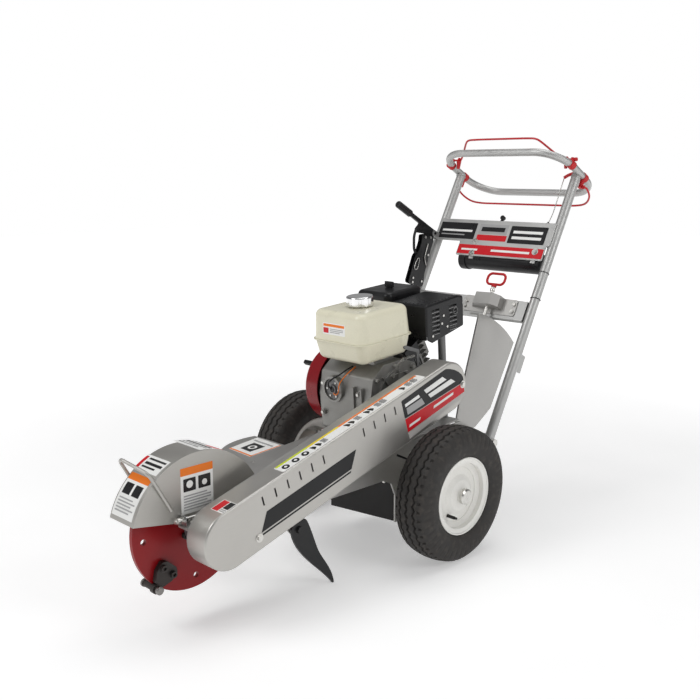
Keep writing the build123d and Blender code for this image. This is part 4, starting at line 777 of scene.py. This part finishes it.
PIVOT_Y, PIVOT_Z = 276, 290
SECTOR_X, SECTOR_HUB_R = 124.5, 27
arc = [math.radians(degrees) for degrees in range(-40, 100, 12)]
bead("weld_sector", [SIDE.at(SECTOR_X, PIVOT_Y + SECTOR_HUB_R * math.cos(turn),
                             PIVOT_Z + SECTOR_HUB_R * math.sin(turn)) for turn in arc], 1.8, "frame")
for x in (-LEG_X + 17, LEG_X - 17):
    side_name = "near" if x > 0 else "far"
    for s in (417, 487):
        bead(f"weld_crossbar_{side_name}_{s}", [HANDLE.at(x, -15, s), HANDLE.at(x, 8, s)], 1.6, "handle")
for sign in (-1, 1):
    side_name = "near" if sign > 0 else "far"
    ring = [HANDLE.at(sign * LEG_X + x, back, LOOP_S - 14) for x, back in around(16.8, 24)]
    bead(f"weld_loop_{side_name}", ring, 1.8, "handle")

for s in (600, 505):              # ties round the near leg and the cables
    tube(f"cable_tie_{s}", [HANDLE.at(LEG_X + x, back, s) for x, back in around(17.2, 24)[:-1]], 1.3,
         "plastic", "handle", closed=True)


def path(side, *points):
    """Points in a side view, as positions."""
    return [side.at(*point) for point in points]


def strap(name, surface, points, thick, key, body):
    """A flat plate of a given thickness laid on a surface."""
    return layered(name, surface.at, [(key, points)], body, thick)


def rod(name, points, radius, key, body, sides=16):
    """A straight round bar between two points, with six sides where it is a nut."""
    return tube(name, points, radius, key, body, order=2, sides=sides)


WASHER_R, WASHER_THICK = 12, 1.6
for number, (x, along) in enumerate([(-63, 690), (-60, 645), (201, 666)]):
    strap(f"panel_washer_{number}", panel_face, disc_points(x, along, WASHER_R), WASHER_THICK, "zinc",
          "handle")
for number, (back, up) in enumerate([(82, -43), (943, -16)]):
    strap(f"guard_washer_{number}", stripe, disc_points(back, up, WASHER_R), WASHER_THICK, "zinc", "frame")

ROD_X, ROD_Z = 146, 302
rod("take_up_rod", path(SIDE, (ROD_X, -868, ROD_Z), (ROD_X, -775, ROD_Z)), 5, "zinc", "frame")
for number, back in enumerate((-862, -846)):
    rod(f"take_up_nut_{number}", path(SIDE, (ROD_X, back, ROD_Z), (ROD_X, back + 8, ROD_Z)), 9, "zinc",
        "frame", 6)
strap("take_up_bracket", front_face(SIDE, -838), box_points(131, 284, 160, 312, 4), 5, "machined", "frame")


# ---- bails, their clamps and their cable ----------------------------------------------------

WIRE_R = 3.5
CLAMP_R = 15.4


def bail(name, hinge, bar, half, body):
    """A wire across the loop on two hinges. half lists x and the share of the way from hinge to bar."""
    (back, along), (bar_back, bar_along) = hinge, bar
    route = [(-x, t) for x, t in half] + [(0, 1.0)] + [(x, t) for x, t in reversed(half)]
    points = [HANDLE.at(x, back + (bar_back - back) * t, along + (bar_along - along) * t) for x, t in route]
    wire = tube(name, points, WIRE_R, "red_wire", body, sides=14)
    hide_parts(name.replace("_wire", ""))


UPPER_HINGE, LOWER_HINGE = (-62, 994.5), (30.5, 939)
bail("upper_bail_wire", UPPER_HINGE, (-148, 1029), [
    (266, 0.0), (236, 0.0), (220, 0.0), (204, 0.2), (180, 0.54), (164, 0.78), (148, 0.97), (118, 1.0),
], "upper_bail_body")
bail("lower_bail_wire", LOWER_HINGE, (113, 908), [
    (262, 0.0), (274, 0.0), (282, 0.1), (280, 0.5), (252, 0.9), (206, 1.0), (150, 1.0),
], "lower_bail_body")

ARM = rounded([(-72, 986), (-56, 962), (-46, 968), (-53, 1003), (-68, 1004)], 4)
for sign, side_name in ((-1, "far"), (1, "near")):
    x = sign * HINGE_X
    for part, (back, along), reach in (("upper", UPPER_HINGE, 4), ("lower", LOWER_HINGE, -4)):
        ends = path(HANDLE, (x, back - 10, LOOP_S), (x, back + 10, LOOP_S))
        sleeve = rod(f"{part}_clamp_{side_name}", ends, CLAMP_R, "red_plastic", "handle", 24)
        if part == "upper" and side_name == "near":
            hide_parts("bail_clamps")
        rod(f"{part}_lug_{side_name}", path(HANDLE, (x, back, LOOP_S), (x, back, along + reach)), 8,
            "red_plastic", "handle")
        rod(f"{part}_knob_{side_name}", path(HANDLE, (sign * 266.5, back, along), (sign * 273, back, along)),
            6.5, "red_plastic", f"{part}_bail_body")
    strap(f"bail_arm_{side_name}", outer_face(HANDLE, sign * 231), ARM, 5, "red_plastic", "upper_bail_body")

tube("cable_lever", path(HANDLE, (252, -2, 976), (222, -4, 972), (206, -3, 956)), 5.5, "red_plastic",
     "handle", sides=14)
tube("bail_cable", path(HANDLE, (206, -3, 958), (203, 4, 880), (201, 8, 800), (201, -8, 768)), 1.6, "zinc",
     "handle", sides=8)
rod("bail_cable_end", path(HANDLE, (201, -9, 764), (201, -1, 786)), 3.6, "plastic", "handle",
    12)


# ---- brake lever's plates, link, spring and rod ------------------------------------------------

BRAKE_PLATE = rounded([
    (-103, 668), (-50, 699), (-36, 672), (-35, 645), (-32, 608), (-22, 544), (-9, 504), (-32, 486),
    (-49, 489), (-84, 484), (-90, 491), (-94, 532), (-100, 584), (-92, 610), (-94, 644),
], 6)
BRAKE_BOLTS = [(-86, 666), (-60, 678), (-41, 615), (-26, 515), (-76, 507), (-71, 492)]
SPRING_LOOP = [(-89, 584), (-93, 544), (-81, 537), (-71, 544), (-77, 582)]
BRAKE_ROD = [(-63, 651), (-59, 623), (-56, 592), (-33, 577)]
LINK = [(-137, 674), (-138, 651), (-123, 623), (-108, 598), (-82, 592)]
PLATE_XS, BOLT_X, LINK_X, SPRING_X = (-240, -257), -237, -246, -234

for number, x in enumerate(PLATE_XS):
    strap(f"brake_plate_{number}", outer_face(HANDLE, x), BRAKE_PLATE, 3, "charcoal", "handle")
for number, (back, along) in enumerate(BRAKE_BOLTS):
    strap(f"brake_bolt_{number}", outer_face(HANDLE, BOLT_X), disc_points(back, along, 4.5, 6), 3, "zinc",
          "handle")
tube("brake_spring_loop", [HANDLE.at(SPRING_X, *point) for point in SPRING_LOOP], 1.3, "zinc", "handle",
     closed=True)
tube("brake_rod", [HANDLE.at(SPRING_X, *point) for point in BRAKE_ROD], 1.8, "zinc", "handle")
link = tube("brake_link", [HANDLE.at(LINK_X, *point) for point in LINK], 5.0, "charcoal", None,
            sides=12)
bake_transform(link)


# ---- painted highlights on the muffler guard's slots, and the engine's front and near side ----

# Thin rods of bright machined metal lie along the lower edge of each slot in the black guard: a painted
# highlight for the light that the louvre lips catch.
HIGHLIGHT_X = MUFFLER_FACE_X + 0.4
HIGHLIGHT_UP, HIGHLIGHT_PITCH, HIGHLIGHT_DROP = 166, 14, 4.4
for row in range(6):
    level = HIGHLIGHT_UP + HIGHLIGHT_PITCH * row - HIGHLIGHT_DROP
    for back in (148, 234):
        tube(f"guard_lip_{row}_{back}", path(ENGINE, (HIGHLIGHT_X, back, level), (HIGHLIGHT_X, back + 36, level)), 1.0,
             "machined", "frame", order=2, sides=8)
RIVETS = [(205, 214), (196, 190), (222, 176), (150, 158)]
for back, up in RIVETS:
    strap(f"guard_rivet_{back}", outer_face(ENGINE, MUFFLER_FACE_X), disc_points(back, up, 4), 1.5, "zinc",
          "frame")

# dark housing, leads and bolts on the crankcase front
HOUSING_X, HOUSING_UP, SCREW_CIRCLE_R = -33, 22, 25
housing = front_face(ENGINE, CAST_FRONT - 1)
for part, radius, thick, key, slot in (("housing", 33.5, 3, "alloy_dark", "alloy"),
                                       ("hub", 15, 8, "alloy_dark", "alloy"),
                                       ("cup", 9, 9.5, "charcoal", "black_paint")):
    strap(f"front_{part}", housing, disc_points(HOUSING_X, HOUSING_UP, radius), thick, key, "frame")
for turn in range(0, 360, 60):
    x = HOUSING_X + SCREW_CIRCLE_R * math.cos(math.radians(turn))
    up = HOUSING_UP + SCREW_CIRCLE_R * math.sin(math.radians(turn))
    strap(f"front_screw_{turn}", housing, disc_points(x, up, 3.6, 6), 6, "zinc", "frame")
tube("sensor_lead", path(
    ENGINE, (-30, -121, 12), (-12, -132, 6), (4, -130, 20), (2, -128, 44), (14, -116, 66), (22, -92, 84),
    (24, -72, 92),
), 1.7, "ink_orange", "frame")
tube("sensor_lead_black", path(
    ENGINE, (-34, -121, 20), (-44, -134, 34), (-30, -130, 56), (-6, -116, 70), (8, -94, 86), (12, -72, 92),
), 2.4, "plastic", "frame")
BOSS_DEEP = 8
for x, up in ((70, 20), (70, -40), (-82, 34), (-82, -60), (20, -70)):
    wall = CAST_FRONT + BOSS_DEEP if up > 0 else CAST_FRONT
    strap(f"case_boss_{x}_{up}", front_face(ENGINE, wall), disc_points(x, up, 9), BOSS_DEEP, "alloy", "frame")
    strap(f"case_bolt_{x}_{up}", front_face(ENGINE, wall - BOSS_DEEP), disc_points(x, up, 5.5, 6), 5, "zinc",
          "frame")

# governor arm, its rod and spring, and their bracket, on the engine's near side
GOVERNOR_ARM = rounded([(-22, 58), (-8, 56), (-4, 70), (46, 104), (38, 112), (-20, 74)], 4)
GOVERNOR_BRACKET = rounded([
    (41, 145), (52, 146), (114, 120), (110, 62), (100, 62), (100, 114), (44, 136),
], 4)
near_side = outer_face(ENGINE, 121)
strap("governor_arm", near_side, GOVERNOR_ARM, 3, "zinc", "frame")
strap("governor_nut", near_side, disc_points(-14, 64, 6, 6), 8, "zinc", "frame")
strap("governor_bracket", near_side, GOVERNOR_BRACKET, 3, "alloy_dark", "frame")
COIL_R, COIL_STEP = 4, 0.5
coil = []
for i in range(90):
    turn = i * math.pi / 5
    coil.append(ENGINE.at(124 + COIL_R * math.cos(turn), 44 + COIL_STEP * i, 106 + COIL_R * math.sin(turn)))
tube("governor_spring", coil, 0.8, "zinc", "frame", sides=6)
tube("governor_rod", path(ENGINE, (124, -10, 66), (126, 20, 69), (126, 53, 67)), 1.4, "zinc", "frame")


# ---- floor, light and camera -------------------------------------------------------------

FLOOR_HALF = 14
floor_corners = [(x * FLOOR_HALF, y * FLOOR_HALF, 0) for x, y in ((-1, -1), (1, -1), (1, 1), (-1, 1))]
floor_mesh = bpy.data.meshes.new("floor")
floor_mesh.from_pydata(floor_corners, [], [(0, 1, 2, 3)])
floor = bpy.data.objects.new("floor", floor_mesh)
bpy.context.collection.objects.link(floor)
floor_look = Look("floor", (0.8, 0.8, 0.8), roughness=0.7)
floor_look.vary(floor_look.noise(2, 3), 0.985, 1.015)
floor_look.shader.inputs["Emission Color"].default_value = (1, 1, 1, 1)
reach = floor_look.nodes.new("ShaderNodeVectorMath")
reach.operation = "LENGTH"
floor_look.links.new(floor_look.coords, reach.inputs[0])
away = floor_look.nodes.new("ShaderNodeMapRange")
away.interpolation_type = "SMOOTHSTEP"
GLOW = {"From Min": 0.9, "From Max": 4.5, "To Min": 0.36, "To Max": 0.85}      # by distance, in metres
for socket, value in GLOW.items():
    away.inputs[socket].default_value = value
floor_look.links.new(reach.outputs["Value"], away.inputs["Value"])
floor_look.links.new(away.outputs["Result"], floor_look.shader.inputs["Emission Strength"])
floor_mesh.materials.append(floor_look.done())

world = bpy.data.worlds.new("studio")
bpy.context.scene.world = world
world.use_nodes = True
nodes, links = world.node_tree.nodes, world.node_tree.links
backdrop = nodes["Background"]
backdrop.inputs["Strength"].default_value = 0.46
direction = nodes.new("ShaderNodeTexCoord")
split = nodes.new("ShaderNodeSeparateXYZ")
links.new(direction.outputs["Generated"], split.inputs["Vector"])
sky = nodes.new("ShaderNodeValToRGB")
stops = sky.color_ramp.elements
for position, level in ((0.0, 0.95), (0.25, 0.7), (0.55, 0.35), (0.9, 0.8)):
    stop = stops.new(position) if position > 0.0 else stops[0]
    stop.position = position
    stop.color = (level, level, level * 1.01, 1)
links.new(split.outputs["Z"], sky.inputs["Fac"])
links.new(sky.outputs["Color"], backdrop.inputs["Color"])
plain = nodes.new("ShaderNodeBackground")            # what the camera sees past the floor
plain.inputs["Strength"].default_value = 1.0
plain.inputs["Color"].default_value = (1, 1, 1, 1)
seen = nodes.new("ShaderNodeLightPath")
either = nodes.new("ShaderNodeMixShader")
links.new(seen.outputs["Is Camera Ray"], either.inputs["Fac"])
links.new(backdrop.outputs["Background"], either.inputs[1])
links.new(plain.outputs["Background"], either.inputs[2])
links.new(either.outputs["Shader"], nodes["World Output"].inputs["Surface"])


def lamp(name, place, target, size, power):
    """A square soft light that faces a point."""
    data = bpy.data.lights.new(name, "AREA")
    data.shape = "SQUARE"
    data.size = size
    data.energy = power
    obj = bpy.data.objects.new(name, data)
    bpy.context.collection.objects.link(obj)
    obj.location = place
    obj.rotation_mode = "QUATERNION"
    obj.rotation_quaternion = (Vector(target) - Vector(place)).to_track_quat("-Z", "Y")


lamp("key", (-1.2, -3.2, 3.4), (0, 0, 0.4), 2.0, 70)
lamp("side", (3.6, 0.4, 2.4), (0, 0, 0.5), 1.6, 30)
lamp("top", (0.2, 0.8, 4.2), (0, 0, 0.3), 2.6, 45)

camera_data = bpy.data.cameras.new("camera")
camera_data.lens = 47.7
camera_data.sensor_width = 36
camera = bpy.data.objects.new("camera", camera_data)
bpy.context.collection.objects.link(camera)
CAMERA_Y, CAMERA_DOWN, CAMERA_TURN = -2097, 10.91, 44.9      # mm behind the axle, and degrees
camera.location = (1.981, (CAMERA_Y + AXLE_Y) * MM, 1.153)
camera.rotation_euler = (math.radians(90 - CAMERA_DOWN), 0, math.radians(CAMERA_TURN))
bpy.context.scene.camera = camera
bpy.context.scene.view_settings.view_transform = "Standard"
